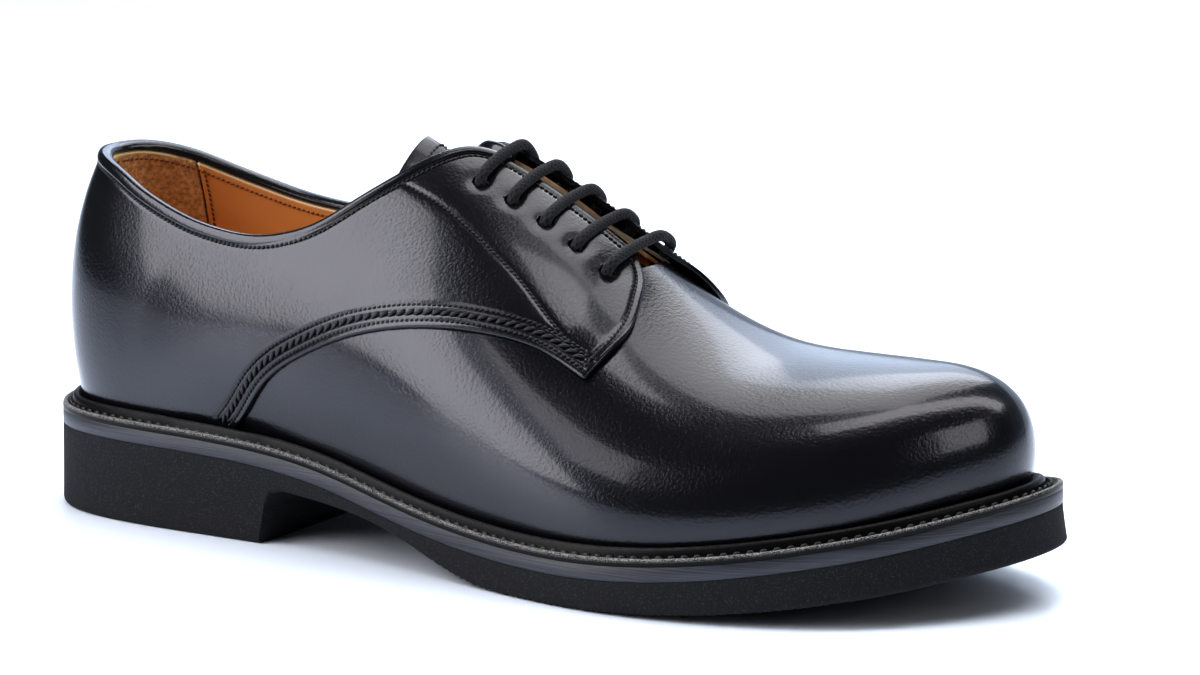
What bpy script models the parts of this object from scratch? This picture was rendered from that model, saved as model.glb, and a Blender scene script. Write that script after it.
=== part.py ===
"""Right-foot derby shoe with a plain toe, five straight laces and a storm-welted rubber sole.

Metres. +X runs from heel to toe, +Y towards the inner (medial) side, +Z up, and the sole stands on Z = 0.
The upper is described on one smooth surface: a station runs from 0 at the heel to 1 at the toe, and a
rise from 0 at the welt to 1 at the crest. Each layer is a patch of it, moved outwards or inwards.
"""
import bpy
import bmesh
import numpy as np

MM = 0.001
LENGTH = 0.305               # heel back to toe tip, along the sole's outer edge

# The sole's outer edge, in mm from the back of the heel and from the heel's centre line.
LATERAL_EDGE = [(0, 0), (4, -17), (14, -29), (32, -36), (60, -38.5), (100, -40), (140, -46), (175, -54),
                (205, -58.5), (232, -56), (257, -47.5), (279, -33.5), (295, -14.5), (302.5, -2)]
MEDIAL_EDGE = [(305, 12), (302, 24.5), (292, 37), (275, 46.5), (250, 52.5), (222, 53), (175, 47),
               (140, 38), (100, 32.5), (60, 33.5), (30, 33), (12, 26), (3.5, 15)]
MIDDLE = -2.62 * MM          # middle of the sole's width, measured from the heel's centre line
# Height of the welt's top face above the ground, in mm, at distances in mm from the shoe's middle.
WELT_TOP = [(-152.5, 29.5), (-110, 29.5), (-75, 28.5), (-45, 25.2), (-15, 18.9), (15, 15.2), (45, 14.6),
            (75, 16.6), (110, 21.8), (135, 27), (152.5, 31.5)]
# Crest of the upper: distance from the shoe's middle, sideways shift and height, in mm.
CREST = [(-150, -1, 112), (-120, -1, 119), (-90, 0, 122), (-60, 1, 121), (-30, 2.5, 115), (0, 4.5, 104),
         (25, 6, 88.5), (50, 8, 72.5), (75, 10, 63), (95, 11.5, 61.5), (120, 12.5, 61)]
# Shape of the sides by station (0 heel, 1 toe): welt width in mm, flare in degrees, fullness low and high.
LATERAL_SHAPE = [(0, 6.5, 14, .62, .35), (.15, 6.2, 14, .62, .30), (.35, 5.4, 22, .60, .34),
                 (.5, 5.6, 27, .56, .50), (.62, 6, 24, .52, .60), (.75, 7, 16, .56, .62),
                 (.88, 8, 12, .62, .66), (1, 8.5, 12, .74, .80)]
MEDIAL_SHAPE = [(0, 6.5, 14, .62, .35), (.15, 6.2, 13, .62, .30), (.35, 5.4, 24, .60, .34),
                (.5, 5.6, 26, .56, .42), (.62, 6, 18, .54, .46), (.75, 7, 14, .56, .52),
                (.88, 8, 12, .62, .62), (1, 8.5, 12, .74, .80)]
HEEL_POLE = -0.130           # the crest's lines close on these two points
TOE_POLE = 0.119
POLE_SOFTNESS = 0.009

# Layers of the upper, in mm from its outer face; every pair of neighbours keeps a small gap.
GAP = 0.3 * MM
UPPER = (-1.4 * MM, 0.0)
BETWEEN = (-2.6 * MM, -1.7 * MM)         # toe puff, heel counter and facing stays
LINING = (-3.8 * MM, -3.0 * MM)
LAP = 1.9 * MM                           # how far the quarters stand out where they lie over the vamp
TIP_SINK = 1.2 * MM                      # how far the vamp's tip and the quarter over it sink at the welt
STRIP = (0.4 * MM, 1.4 * MM)

# Layers of the bottom, in mm from the welt's top face.
WELT_THICKNESS = 2.0 * MM
MIDSOLE = (-4.3 * MM, -2.3 * MM)
OUTSOLE_TOP = -4.6 * MM
FILLER = (-2.0 * MM, -0.3 * MM)
INSOLE = (0.3 * MM, 2.6 * MM)
SOCK = (2.9 * MM, 3.9 * MM)

# Edges of the pieces, as (station, rise).
COLLAR = [(0, .590), (.05, .586), (.086, .568), (.13, .522), (.158, .478), (.184, .443), (.215, .411),
          (.25, .393), (.288, .396), (.318, .424), (.350, .488), (.375, .578), (.398, .684), (.416, .792),
          (.429, .870), (.445, .918), (.47, .933), (.52, .935), (.61, .935)]
SEAM = [(.262, 0), (.275, .030), (.303, .110), (.344, .196), (.394, .285), (.441, .357), (.485, .417),
        (.526, .471), (.563, .507), (.60, .502)]
SEAM_START = SEAM[0][0]
QUARTER_FRONT = [(0, .599), (.24, .606), (.47, .608), (.72, .598), (.93, .581), (1, .570)]
LINING_FRONT = [(0, .605), (.5, .600), (.80, .588), (1, .570)]
VAMP_BACK = [(.18, -.20), (.21, -.04), (.235, .05), (.26, .12), (.303, .235), (.344, .315), (.394, .395),
             (.441, .455), (.485, .510), (.526, .560), (.555, .60), (.572, .68), (.583, 1)]
VAMP_TIP = .238
THROAT = .583
TONGUE_LIFT = [(.385, -4.9), (.395, -5.7), (.41, -7.3), (.43, -8.3), (.46, -8.4), (.55, -8.4), (.568, -8.0),
               (.585, -5.8), (.60, -3.4), (.612, -2.2)]
TONGUE_EDGE = [(.385, .615), (.40, .625), (.42, .655), (.45, .66), (.55, .68), (.59, .74), (.612, .80)]
TONGUE_STATIONS = [.385, .392, .40, .41, .425, .44, .46, .485, .51, .535, .555, .57, .585, .60, .612]
TONGUE_THICKNESS = 1.2 * MM
EYELETS = [(.569, .806), (.541, .808), (.513, .804), (.484, .797), (.455, .789)]     # front to back
EYELET_RADIUS = 2.3 * MM
LACE_RADIUS = 1.75 * MM
CORD_STEP = 8 * MM
AGLET_RADIUS = 1.4 * MM
AGLET_LENGTH = 22 * MM
MEDIAL_RUN = [(.422, .63), (.430, .675), (.447, .70), (.48, .705), (.51, .71), (.545, .72)]
LATERAL_RUN = [(.438, .73), (.428, .68), (.422, .63)]
# Free ends of the lace, in mm: down the lining beside the tongue, then along the sock liner to the heel seat.
LATERAL_END = [(-22.7, -16.6, 91.9), (-23.9, -20.6, 86.8), (-25.9, -24.7, 81.1), (-28.5, -28.1, 75),
               (-31.7, -30.6, 68.6), (-35.6, -32, 61.8), (-40.2, -32.3, 54.7), (-46.3, -31.3, 48.5),
               (-53.4, -29.6, 43.1), (-60.7, -27.9, 39.5), (-68, -26, 37), (-76, -23.8, 35.6),
               (-84, -21.4, 35.1), (-92, -19.2, 35.3), (-99.5, -16, 35.5), (-104, -9.5, 35.6),
               (-102.5, -2, 35.6), (-96, 2.2, 35.5)]
MEDIAL_END = [(-22.7, 20.8, 92.1), (-24, 23.5, 87.6), (-25.8, 26.7, 81.4), (-28.4, 29.2, 75.1), (-31.7, 31, 68.6),
              (-35.5, 31.8, 61.8), (-40.1, 31.5, 54.7), (-46.3, 30.2, 48.5), (-53.4, 28.4, 43.2),
              (-60.8, 26.6, 39.6), (-68.5, 24.8, 37), (-77, 23, 35.6), (-86, 21.8, 35.2), (-95, 21, 35.4),
              (-104, 19.4, 35.6), (-112.5, 16, 35.7), (-119.5, 10.8, 35.7)]

# Underside of the outsole, in mm: heel, breast, arched waist, tread.
BREAST = [(-152.5, 0), (-65, 0), (-62.8, 11), (-61, 14.6), (-57.5, 15.6)]
WAIST = [(-57.5, 15.6), (-36, 13.5), (-20, 10.4), (-7.6, 6.3), (4.7, 2.4), (15, .5), (24, 0)]
TREAD_FLAT_TO = 40
TOE_SPRING = 14.5

BALL_AXIS = (0.060, 0, 0.0155)
TONGUE_AXIS = (0.0440, 0, 0.0730)

REAR_STATIONS = [.0005, .014, .03, .05, .075, .10, .125, .155, .19, .225, .262]
SIDE_STATIONS = [.262, .285, .31, .335, .355, .375, .39, .405, .42, .435, .455, .48, .505, .53, .555, .58,
                 .599]
FRONT_STATIONS = [.583, .602, .622, .645, .67, .70, .73, .76, .79, .82, .85, .88, .905, .93, .955, .98, 1]

ROWS = 8                                 # steps from welt to collar on a quarter
FRONT_ROWS = 8                           # steps from welt to crest on the vamp


def second_derivatives(gaps, values, periodic):
    count = len(values)
    matrix = np.zeros((count, count))
    right = np.zeros_like(values)
    for i in range(count):
        if not periodic and i in (0, count - 1):
            matrix[i, i] = 1
            continue
        before = gaps[i - 1]
        after = gaps[i % len(gaps)]
        ahead = (i + 1) % count
        matrix[i, i - 1] += before
        matrix[i, i] += 2 * (before + after)
        matrix[i, ahead] += after
        right[i] = 6 * ((values[ahead] - values[i]) / after - (values[i] - values[i - 1]) / before)
    return np.linalg.solve(matrix, right)


def smooth_curve(keys, values, at, periodic=False):
    """Cubic spline through the values. A periodic one has one more key, where it starts again."""
    keys = np.asarray(keys, float)
    values = np.asarray(values, float).reshape(len(values), -1)
    at = np.asarray(at, float)
    gaps = np.diff(keys)
    bend = second_derivatives(gaps, values, periodic)
    if periodic:
        values = np.vstack([values, values[:1]])
        bend = np.vstack([bend, bend[:1]])
        at = keys[0] + np.mod(at - keys[0], keys[-1] - keys[0])
    at = np.clip(at, keys[0], keys[-1])
    i = np.clip(np.searchsorted(keys, at, side="right") - 1, 0, len(gaps) - 1)
    gap = gaps[i][..., None]
    t = (at - keys[i])[..., None]
    s = gap - t
    return ((bend[i] * s**3 + bend[i + 1] * t**3) / (6 * gap)
            + (values[i] / gap - bend[i] * gap / 6) * s
            + (values[i + 1] / gap - bend[i + 1] * gap / 6) * t)


def table_curve(table, at):
    table = np.asarray(table, float)
    found = smooth_curve(table[:, 0], table[:, 1:], at)
    return found[..., 0] if table.shape[1] == 2 else found


class Outline:
    """The sole's outer edge, by the distance round it from the back of the heel, lateral side first."""

    def __init__(self):
        points = np.array(LATERAL_EDGE + MEDIAL_EDGE) * MM
        points[:, 0] -= LENGTH / 2
        points[:, 1] -= MIDDLE
        chords = np.linalg.norm(np.diff(np.vstack([points, points[:1]]), axis=0), axis=1)
        self.keys = np.concatenate([[0], np.cumsum(chords)])
        self.points = points
        self.fine = np.linspace(0, self.keys[-1], 6001)
        ring = smooth_curve(self.keys, points, self.fine, periodic=True)
        self.arcs = np.concatenate([[0], np.cumsum(np.linalg.norm(np.diff(ring, axis=0), axis=1))])
        self.girth = self.arcs[-1]
        near_heel = np.abs(np.mod(self.arcs + self.girth / 2, self.girth) - self.girth / 2) < 0.02
        self.heel = self.arcs[np.where(near_heel, ring[:, 0], 9).argmin()]
        self.toe = self.arcs[ring[:, 0].argmax()]

    def at(self, arc, inset=0.0):
        arc = np.mod(arc, self.girth)
        where = np.interp(arc, self.arcs, self.fine)
        return smooth_curve(self.keys, self.points, where, periodic=True) - self.outward(arc) * inset

    def outward(self, arc):
        step = 0.0005
        ends = []
        for shift in (-step, step):
            where = np.interp(np.mod(arc + shift, self.girth), self.arcs, self.fine)
            ends.append(smooth_curve(self.keys, self.points, where, periodic=True))
        along = ends[1] - ends[0]
        along /= np.linalg.norm(along, axis=-1, keepdims=True)
        return np.stack([along[..., 1], -along[..., 0]], -1)


OUTLINE = Outline()
LATERAL, MEDIAL = -1, 1


def side_shape(side, station):
    shape = table_curve(LATERAL_SHAPE if side == LATERAL else MEDIAL_SHAPE, station)
    return shape[..., 0] * MM, np.radians(shape[..., 1]), shape[..., 2], shape[..., 3]


def raw_arc(side, share):
    heel = OUTLINE.heel - (OUTLINE.girth if OUTLINE.heel > OUTLINE.girth / 2 else 0)
    if side == LATERAL:
        return heel + share * (OUTLINE.toe - heel)
    return heel + OUTLINE.girth - share * (heel + OUTLINE.girth - OUTLINE.toe)


def feather_edge(side, share):
    """Where the upper meets the welt, by the share of the way round from heel to toe."""
    arc = raw_arc(side, share)
    return OUTLINE.at(arc) - OUTLINE.outward(arc) * side_shape(side, share)[0][..., None]


SHARES = 0.5 - 0.5 * np.cos(np.linspace(0, np.pi, 1201))
STATION_X = np.maximum.accumulate(feather_edge(LATERAL, SHARES)[:, 0])
MEDIAL_X = np.maximum.accumulate(feather_edge(MEDIAL, SHARES)[:, 0])


def share_at(side, station):
    """A station is a share of the lateral edge, and the medial side has the same x there."""
    if side == LATERAL:
        return station
    x = np.interp(station, SHARES, STATION_X)
    return np.interp(x, MEDIAL_X + np.arange(len(SHARES)) * 1e-12, SHARES)


def welt_top(x):
    return table_curve(WELT_TOP, x / MM) * MM


def soft_limits(x):
    x = TOE_POLE - POLE_SOFTNESS * np.log1p(np.exp((TOE_POLE - x) / POLE_SOFTNESS))
    return HEEL_POLE + POLE_SOFTNESS * np.log1p(np.exp((x - HEEL_POLE) / POLE_SOFTNESS))


def crest(x):
    shift, height = np.moveaxis(table_curve(CREST, x / MM) * MM, -1, 0)
    return np.stack([x, shift - MIDDLE, height], -1)


def unit(vectors):
    return vectors / np.linalg.norm(vectors, axis=-1, keepdims=True)


def bare_surface(side, station, rise):
    share = share_at(side, station)
    edge = feather_edge(side, share)
    foot = np.concatenate([edge, welt_top(edge[..., 0])[..., None]], -1)
    x = soft_limits(edge[..., 0])
    top = crest(x)
    _, flare, low, high = side_shape(side, share)
    outward = OUTLINE.outward(raw_arc(side, share))
    start = np.concatenate([outward * np.sin(flare)[..., None], np.cos(flare)[..., None]], -1)
    along = crest(x + MM / 2) - crest(x - MM / 2)
    along[..., 1] = 0
    along = unit(along)
    down = edge - top[..., :2]
    reach = np.linalg.norm(down, axis=-1, keepdims=True)
    down = down / reach
    across = down[..., :1] * along + down[..., 1:] * np.array([0, 1, 0])
    low_handle = foot + start * (low * (top[..., 2] - foot[..., 2]))[..., None]
    high_handle = top + across * high[..., None] * reach
    t = rise[..., None]
    s = 1 - t
    return foot * s**3 + 3 * low_handle * s * s * t + 3 * high_handle * s * t * t + top * t**3


def surface(side, station, rise, offset=0.0):
    """A point of the upper's outer face: rise goes from 0 at the welt to 1 at the crest."""
    station, rise = np.broadcast_arrays(np.asarray(station, float), np.asarray(rise, float))
    point = bare_surface(side, station, rise)
    step = 1e-3
    middle = np.clip(station, 2 * step, 1 - 2 * step)
    below = np.clip(rise, 2 * step, 1 - 2 * step)
    forward = bare_surface(side, middle + step, below) - bare_surface(side, middle - step, below)
    upward = bare_surface(side, station, below + step) - bare_surface(side, station, below - step)
    normal = unit(np.cross(upward, forward)) * side
    x = point[..., 0]
    along = crest(x + MM / 2) - crest(x - MM / 2)
    up = unit(np.stack([-along[..., 2], 0 * x, along[..., 0]], -1))
    normal = np.where((rise > 1 - step)[..., None], up, normal)
    return point + normal * np.broadcast_to(offset, station.shape)[..., None]


# ---------------------------------------------------------------- scene and meshes

LEATHER_BLACK = ("black_box_calf", (0.012, 0.012, 0.015), 0.30, 0.0)
LEATHER_TAN = ("tan_lining_calf", (0.62, 0.30, 0.10), 0.55, 0.0)
SUEDE_TAN = ("tan_suede", (0.45, 0.27, 0.14), 0.95, 0.0)
LEATHER_INSOLE = ("insole_leather", (0.55, 0.38, 0.22), 0.75, 0.0)
STIFFENER = ("stiffener_board", (0.60, 0.52, 0.40), 0.85, 0.0)
RUBBER = ("charcoal_rubber", (0.030, 0.030, 0.032), 0.85, 0.0)
MIDSOLE_EDGE = ("waxed_midsole", (0.035, 0.036, 0.042), 0.42, 0.0)
WELT_LEATHER = ("black_welt", (0.020, 0.020, 0.022), 0.55, 0.0)
CORK = ("cork", (0.40, 0.26, 0.13), 0.95, 0.0)
CANVAS = ("rib_canvas", (0.62, 0.58, 0.48), 0.95, 0.0)
STEEL = ("shank_steel", (0.55, 0.55, 0.56), 0.35, 1.0)
COTTON = ("waxed_cotton", (0.028, 0.028, 0.030), 0.85, 0.0)
THREAD = ("waxed_thread", (0.020, 0.020, 0.022), 0.60, 0.0)
AGLET = ("black_aglet", (0.015, 0.015, 0.015), 0.30, 0.0)


def clear_scene():
    for item in list(bpy.data.objects):
        bpy.data.objects.remove(item, do_unlink=True)


def material(finish):
    name, colour, roughness, metallic = finish
    found = bpy.data.materials.get(name)
    if found:
        return found
    made = bpy.data.materials.new(name)
    made.use_nodes = True
    shader = made.node_tree.nodes["Principled BSDF"]
    shader.inputs["Base Color"].default_value = (*colour, 1)
    shader.inputs["Roughness"].default_value = roughness
    shader.inputs["Metallic"].default_value = metallic
    made.diffuse_color = (*colour, 1)
    return made


def add_object(name, data, finish, pivot=None):
    thing = bpy.data.objects.new(name, data)
    bpy.context.scene.collection.objects.link(thing)
    data.materials.append(material(finish))
    if pivot:
        thing.parent = pivot
        thing.matrix_parent_inverse = pivot.matrix_world.inverted()
    return thing


def add_pivot(name, place):
    pivot = bpy.data.objects.new(name, None)
    pivot.location = place
    bpy.context.scene.collection.objects.link(pivot)
    bpy.context.view_layer.update()
    return pivot


def add_solid(name, points, faces, finish, pivot=None):
    """A closed mesh, turned so that its faces point out."""
    mesh = bpy.data.meshes.new(name)
    mesh.from_pydata([tuple(p) for p in points], [], [tuple(f) for f in faces])
    shape = bmesh.new()
    shape.from_mesh(mesh)
    bmesh.ops.recalc_face_normals(shape, faces=shape.faces)
    if shape.calc_volume(signed=True) < 0:
        bmesh.ops.reverse_faces(shape, faces=shape.faces)
    shape.to_mesh(mesh)
    shape.free()
    mesh.shade_smooth()
    mesh.set_sharp_from_angle(angle=np.radians(40))
    return add_object(name, mesh, finish, pivot)


def triangles(grid):
    """Two triangles for each cell of a grid of point numbers, with the diagonal always the same way."""
    a = grid[:-1, :-1].ravel()
    b = grid[1:, :-1].ravel()
    c = grid[1:, 1:].ravel()
    d = grid[:-1, 1:].ravel()
    return np.concatenate([np.stack([a, b, c], 1), np.stack([a, c, d], 1)])


def weld(points, faces, within=0.05 * MM):
    """Points that coincide made one, and the faces that this closes up dropped."""
    first = np.arange(len(points))
    for i in range(1, len(points)):
        near = np.flatnonzero(np.abs(points[:i] - points[i]).max(axis=1) < within)
        if len(near):
            first[i] = first[near[0]]
    faces = first[faces]
    whole = (faces[:, 0] != faces[:, 1]) & (faces[:, 1] != faces[:, 2]) & (faces[:, 0] != faces[:, 2])
    return faces[whole]


def rim_edges(faces):
    """The edges that only one face uses, in that face's direction."""
    edges = np.concatenate([faces[:, [0, 1]], faces[:, [1, 2]], faces[:, [2, 0]]])
    _, index, count = np.unique(np.sort(edges, axis=1), axis=0, return_inverse=True, return_counts=True)
    return edges[count[index.reshape(-1)] == 1]


def add_sheet(name, outer, inner, finish, pivot=None):
    """A sheet between two lists of matching grids of points, closed along its rim."""
    faces = []
    start = 0
    for grid in outer:
        numbers = start + np.arange(grid.shape[0] * grid.shape[1]).reshape(grid.shape[:2])
        faces.append(triangles(numbers))
        start += numbers.size
    outside = np.concatenate([grid.reshape(-1, 3) for grid in outer])
    inside = np.concatenate([grid.reshape(-1, 3) for grid in inner])
    skin = weld(outside, np.concatenate(faces))
    edges = rim_edges(skin)
    back = skin[:, ::-1] + start
    rim = np.concatenate([np.stack([edges[:, 1], edges[:, 0], edges[:, 0] + start], 1),
                          np.stack([edges[:, 1], edges[:, 0] + start, edges[:, 1] + start], 1)])
    every = np.concatenate([skin, back, rim])
    used, every = np.unique(every, return_inverse=True)
    points = np.concatenate([outside, inside])[used]
    return add_solid(name, points, every.reshape(-1, 3), finish, pivot)


def add_sweep(name, rings, finish, closed):
    """A bar whose cross-sections are the rings of points: closed into a loop, or with flat ends."""
    count, sides = rings.shape[:2]
    numbers = np.arange(count * sides).reshape(count, sides)
    numbers = np.concatenate([numbers, numbers[:, :1]], 1)
    if closed:
        numbers = np.concatenate([numbers, numbers[:1]])
    faces = [list(face) for face in triangles(numbers)]
    if not closed:
        faces.append(list(range(sides))[::-1])
        faces.append(list(range((count - 1) * sides, count * sides)))
    return add_solid(name, rings.reshape(-1, 3), faces, finish)


# ---------------------------------------------------------------- patches of the upper

def ease(low, high, value):
    t = np.clip((value - low) / (high - low), 0, 1)
    return t * t * (3 - 2 * t)


def collar(station):
    return table_curve(COLLAR, station)


def seam(station):
    return np.where(station > SEAM_START, table_curve(SEAM, station), 0)


def lap(station, rise):
    """1 where a quarter lies over the vamp, easing to 0 where it lies on the last."""
    edge = np.minimum(table_curve(VAMP_BACK, station), .60)
    over_wing = 1 - ease(edge + .02, edge + .15, rise)
    over_throat = ease(.530, .570, station)
    return 1 - (1 - over_wing) * (1 - over_throat)


def sink(station, rise):
    """1 where the vamp's thinned tip meets the welt, so that the pieces lie flat there."""
    return (1 - ease(.27, .34, station)) * (1 - ease(.04, .16, rise))


def quarter_lift(station, rise):
    return (LAP - TIP_SINK * sink(station, rise)) * lap(station, rise)


def place(side, station, rise, offset):
    """Points of the surface, kept above the welt."""
    points = surface(side, station, rise, offset)
    points[..., 2] = np.maximum(points[..., 2], welt_top(points[..., 0]) + GAP)
    return points


def quarter_grid(columns, low, front, rows=ROWS):
    """Stations and rises of a side patch from the curve low up to the collar, ending at the front curve."""
    columns = np.asarray(columns, float)
    share = np.linspace(0, 1, rows + 1)
    base = np.repeat(columns[:, None], rows + 1, 1)
    station = base + (table_curve(front, share) - columns[-1]) * (base / columns[-1]) ** 6
    return station, low(station) + share * (collar(station) - low(station))


def side_sheet(name, side, station, rise, layer, lift, finish):
    outer = place(side, station, rise, layer[1] + lift)
    inner = place(side, station, rise, layer[0] + lift)
    return add_sheet(name, [outer], [inner], finish)


def quarter(name, side):
    columns = REAR_STATIONS + SIDE_STATIONS[1:]
    station, rise = quarter_grid(columns, seam, QUARTER_FRONT)
    return side_sheet(name, side, station, rise, UPPER, quarter_lift(station, rise), LEATHER_BLACK)


def quarter_lining(name, side):
    columns = [s for s in REAR_STATIONS if s > .126] + SIDE_STATIONS[1:]
    columns = [.127] + columns
    station, rise = quarter_grid(columns, lambda s: 0 * s, LINING_FRONT)
    return side_sheet(name, side, station, rise, LINING, 0 * rise, LEATHER_TAN)


def facing_stay(name, side):
    columns = REAR_STATIONS + SIDE_STATIONS[1:]
    station, rise = quarter_grid(columns, seam, QUARTER_FRONT)
    part = np.s_[columns.index(.455) - 1:-1, -3:]
    lift = quarter_lift(station[part], rise[part])
    return side_sheet(name, side, station[part], rise[part], BETWEEN, lift, STIFFENER)


def over_crest(stations, rows, rise_at=None):
    """Grids that run from the lateral edge over the crest to the medial edge, one row for each station."""
    share = np.linspace(0, 1, rows + 1)
    station = np.repeat(np.asarray(stations, float)[:, None], rows + 1, 1)
    low = 0 * station if rise_at is None else np.repeat(rise_at(station[:, :1]), rows + 1, 1)
    return station, low + share * (1 - low)


def both_sides(station, rise, offset):
    lateral = place(LATERAL, station, rise, offset)
    medial = place(MEDIAL, station, rise, offset)
    if station[-1, 0] == 1:
        medial[-1] = lateral[-1]
    return np.concatenate([lateral, medial[:, -2::-1]], 1)


def front_sheet(name, stations, layer, finish, pivot=None):
    station, rise = over_crest(stations, FRONT_ROWS)
    outer = both_sides(station, rise, layer[1])
    inner = both_sides(station, rise, layer[0])
    return add_sheet(name, [outer], [inner], finish, pivot)


def vamp():
    """The front of the upper, with a wing that runs back under each quarter."""
    station, rise = over_crest(FRONT_STATIONS, FRONT_ROWS)
    outer = [both_sides(station, rise, UPPER[1])]
    inner = [both_sides(station, rise, UPPER[0])]
    columns = [VAMP_TIP] + [s for s in SIDE_STATIONS[:-2]] + [.565, .572, .578, THROAT]
    columns = np.array(columns)
    share = np.linspace(0, 1, FRONT_ROWS + 1)
    station = np.repeat(columns[:, None], FRONT_ROWS + 1, 1)
    rise = share * table_curve(VAMP_BACK, station)
    thinned = TIP_SINK * sink(station, rise)
    for side in (LATERAL, MEDIAL):
        outer.append(place(side, station, rise, UPPER[1] - thinned))
        inner.append(place(side, station, rise, UPPER[0] - thinned))
    return add_sheet("vamp", outer, inner, LEATHER_BLACK)


def heel_band(name, reach, rows, top, layer, finish, bottom=0.0):
    """A piece that wraps the heel, up to the given share of the collar's height."""
    columns = [s for s in REAR_STATIONS[1:] if s <= reach]
    station = np.repeat(np.array([0.0] + columns)[:, None], rows + 1, 1)
    rise = (bottom + np.linspace(0, 1, rows + 1) * (top - bottom)) * collar(station)
    sheets = []
    for offset in (layer[1], layer[0]):
        lateral = place(LATERAL, station, rise, offset)
        medial = place(MEDIAL, station, rise, offset)
        sheets.append(np.concatenate([lateral[::-1], medial[1:]]))
    return add_sheet(name, [sheets[0]], [sheets[1]], finish)


def edge_frames(side, station, rise, direction):
    """Place, outward normal and the direction out of the leather, along an edge of a patch."""
    point = surface(side, station, rise)
    normal = unit(surface(side, station, rise, MM) - point)
    along = np.gradient(point, axis=0) * direction
    return point, normal, unit(np.cross(normal, along))


def topline_binding():
    """The rolled band on the collar's edge, from the top of one facing round the heel to the other."""
    columns = [.0] + REAR_STATIONS[1:] + SIDE_STATIONS[1:]
    station = quarter_grid(columns, seam, QUARTER_FRONT)[0][:columns.index(.455) + 1, -1]
    half = []
    for side in (LATERAL, MEDIAL):
        point, normal, out = edge_frames(side, station, collar(station), -side)
        half.append((point, normal, out))
    lateral, medial = half
    point = np.concatenate([lateral[0][::-1], medial[0][1:]])
    normal = np.concatenate([lateral[1][::-1], medial[1][1:]])
    out = np.concatenate([lateral[2][::-1], medial[2][1:]])
    profile = [(.4, .3), (.4, 1.7), (-.7, 2.7), (-3.1, 2.7), (-4.2, 1.7), (-4.2, .3)]
    rings = np.stack([point + (normal * a + out * b) * MM for a, b in profile], 1)
    return add_sweep("topline_binding", rings, LEATHER_BLACK, closed=False)


def tongue_sheet(name, pivot, offset, finish):
    edge = table_curve(TONGUE_EDGE, np.array(TONGUE_STATIONS))
    share = np.linspace(0, 1, 6)
    station = np.repeat(np.array(TONGUE_STATIONS)[:, None], len(share), 1)
    rise = edge[:, None] + share * (1 - edge[:, None])
    lift = table_curve(TONGUE_LIFT, station) * MM + offset
    outer = both_sides(station, rise, lift)
    inner = both_sides(station, rise, lift - TONGUE_THICKNESS)
    return add_sheet(name, [outer], [inner], finish, pivot)


# ---------------------------------------------------------------- the bottom

def edge_curve(side, inset, from_feather):
    """The sole's edge moved in, as (x, y) along one side from heel to toe."""
    share = 0.5 - 0.5 * np.cos(np.linspace(0, np.pi, 401))
    width = side_shape(side, share)[0] if from_feather else 0 * share
    arc = raw_arc(side, share)
    points = OUTLINE.at(arc) - OUTLINE.outward(arc) * (width + inset)[..., None]
    points[:, 0] = np.maximum.accumulate(points[:, 0])
    return points


def add_plate(name, inset, from_feather, low, high, finish, extra=(), steps=30, groove=None):
    """A plate with the sole's outline, between two heights that depend on x only."""
    sides = [edge_curve(side, inset, from_feather) for side in (LATERAL, MEDIAL)]
    heel = max(side[0, 0] for side in sides)
    toe = min(side[-1, 0] for side in sides)
    x = heel + (toe - heel) * (0.5 - 0.5 * np.cos(np.linspace(0, np.pi, steps + 1)))
    x = [v for v in x if all(abs(v - e) > 0.0008 for e in extra)]
    x = np.array(sorted(x + list(extra)))
    lateral = np.interp(x, sides[0][:, 0] + np.arange(401) * 1e-12, sides[0][:, 1])
    medial = np.interp(x, sides[1][:, 0] + np.arange(401) * 1e-12, sides[1][:, 1])
    medial[0] = lateral[0]
    medial[-1] = lateral[-1]
    across = [lateral, medial] if groove is None else groove(x, lateral, medial)
    rows = np.stack([np.stack([x, y], -1) for y in across], 1)
    tops = high(rows[..., 0]) if groove is None else high(rows[..., 0], rows[..., 1])
    outer = np.concatenate([rows, tops[..., None]], -1)
    inner = np.concatenate([rows, low(rows[..., 0])[..., None]], -1)
    return add_sheet(name, [outer], [inner], finish)


def above_welt(height):
    return lambda x: welt_top(x) + height


def underside(x):
    x = np.asarray(x) / MM
    breast = np.array(BREAST, float)
    heel = np.interp(x, breast[:, 0], breast[:, 1])
    waist = np.maximum(table_curve(WAIST, x), 0)
    spring = TOE_SPRING * np.clip((x - TREAD_FLAT_TO) / (LENGTH / MM / 2 - TREAD_FLAT_TO), 0, 1) ** 2
    return np.where(x < BREAST[-1][0], heel, np.where(x < WAIST[-1][0], waist, spring)) * MM


def outsole():
    """Unit sole with a built-in heel."""
    extra = [x * MM for x, _ in BREAST[1:]] + [x * MM for x, _ in WAIST[1:]]
    return add_plate("outsole", 0.0, False, underside, above_welt(OUTSOLE_TOP), RUBBER, extra=extra,
                     steps=34)


def ring_frames(steps):
    """Evenly spaced places round the sole's edge: point, outward direction, welt width and station."""
    share = (np.arange(steps) + 0.5) / steps * 2
    side = np.where(share < 1, LATERAL, MEDIAL)
    share = np.where(share < 1, share, 2 - share)
    arc = np.where(side == LATERAL, raw_arc(LATERAL, share), raw_arc(MEDIAL, share))
    width = np.where(side == LATERAL, side_shape(LATERAL, share)[0], side_shape(MEDIAL, share)[0])
    return OUTLINE.at(arc), OUTLINE.outward(arc), width, share


def ring(profile_at, steps, name, finish):
    """A closed band round the sole, whose profile is (inset from the edge, height above the welt's top)."""
    edge, outward, width, share = ring_frames(steps)
    rings = []
    for inset, height in profile_at(width, share):
        xy = edge - outward * np.broadcast_to(inset, width.shape)[..., None]
        z = welt_top(xy[..., 0]) + height
        rings.append(np.concatenate([xy, z[..., None]], -1))
    return add_sweep(name, np.stack(rings, 1), finish, closed=True)


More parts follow.
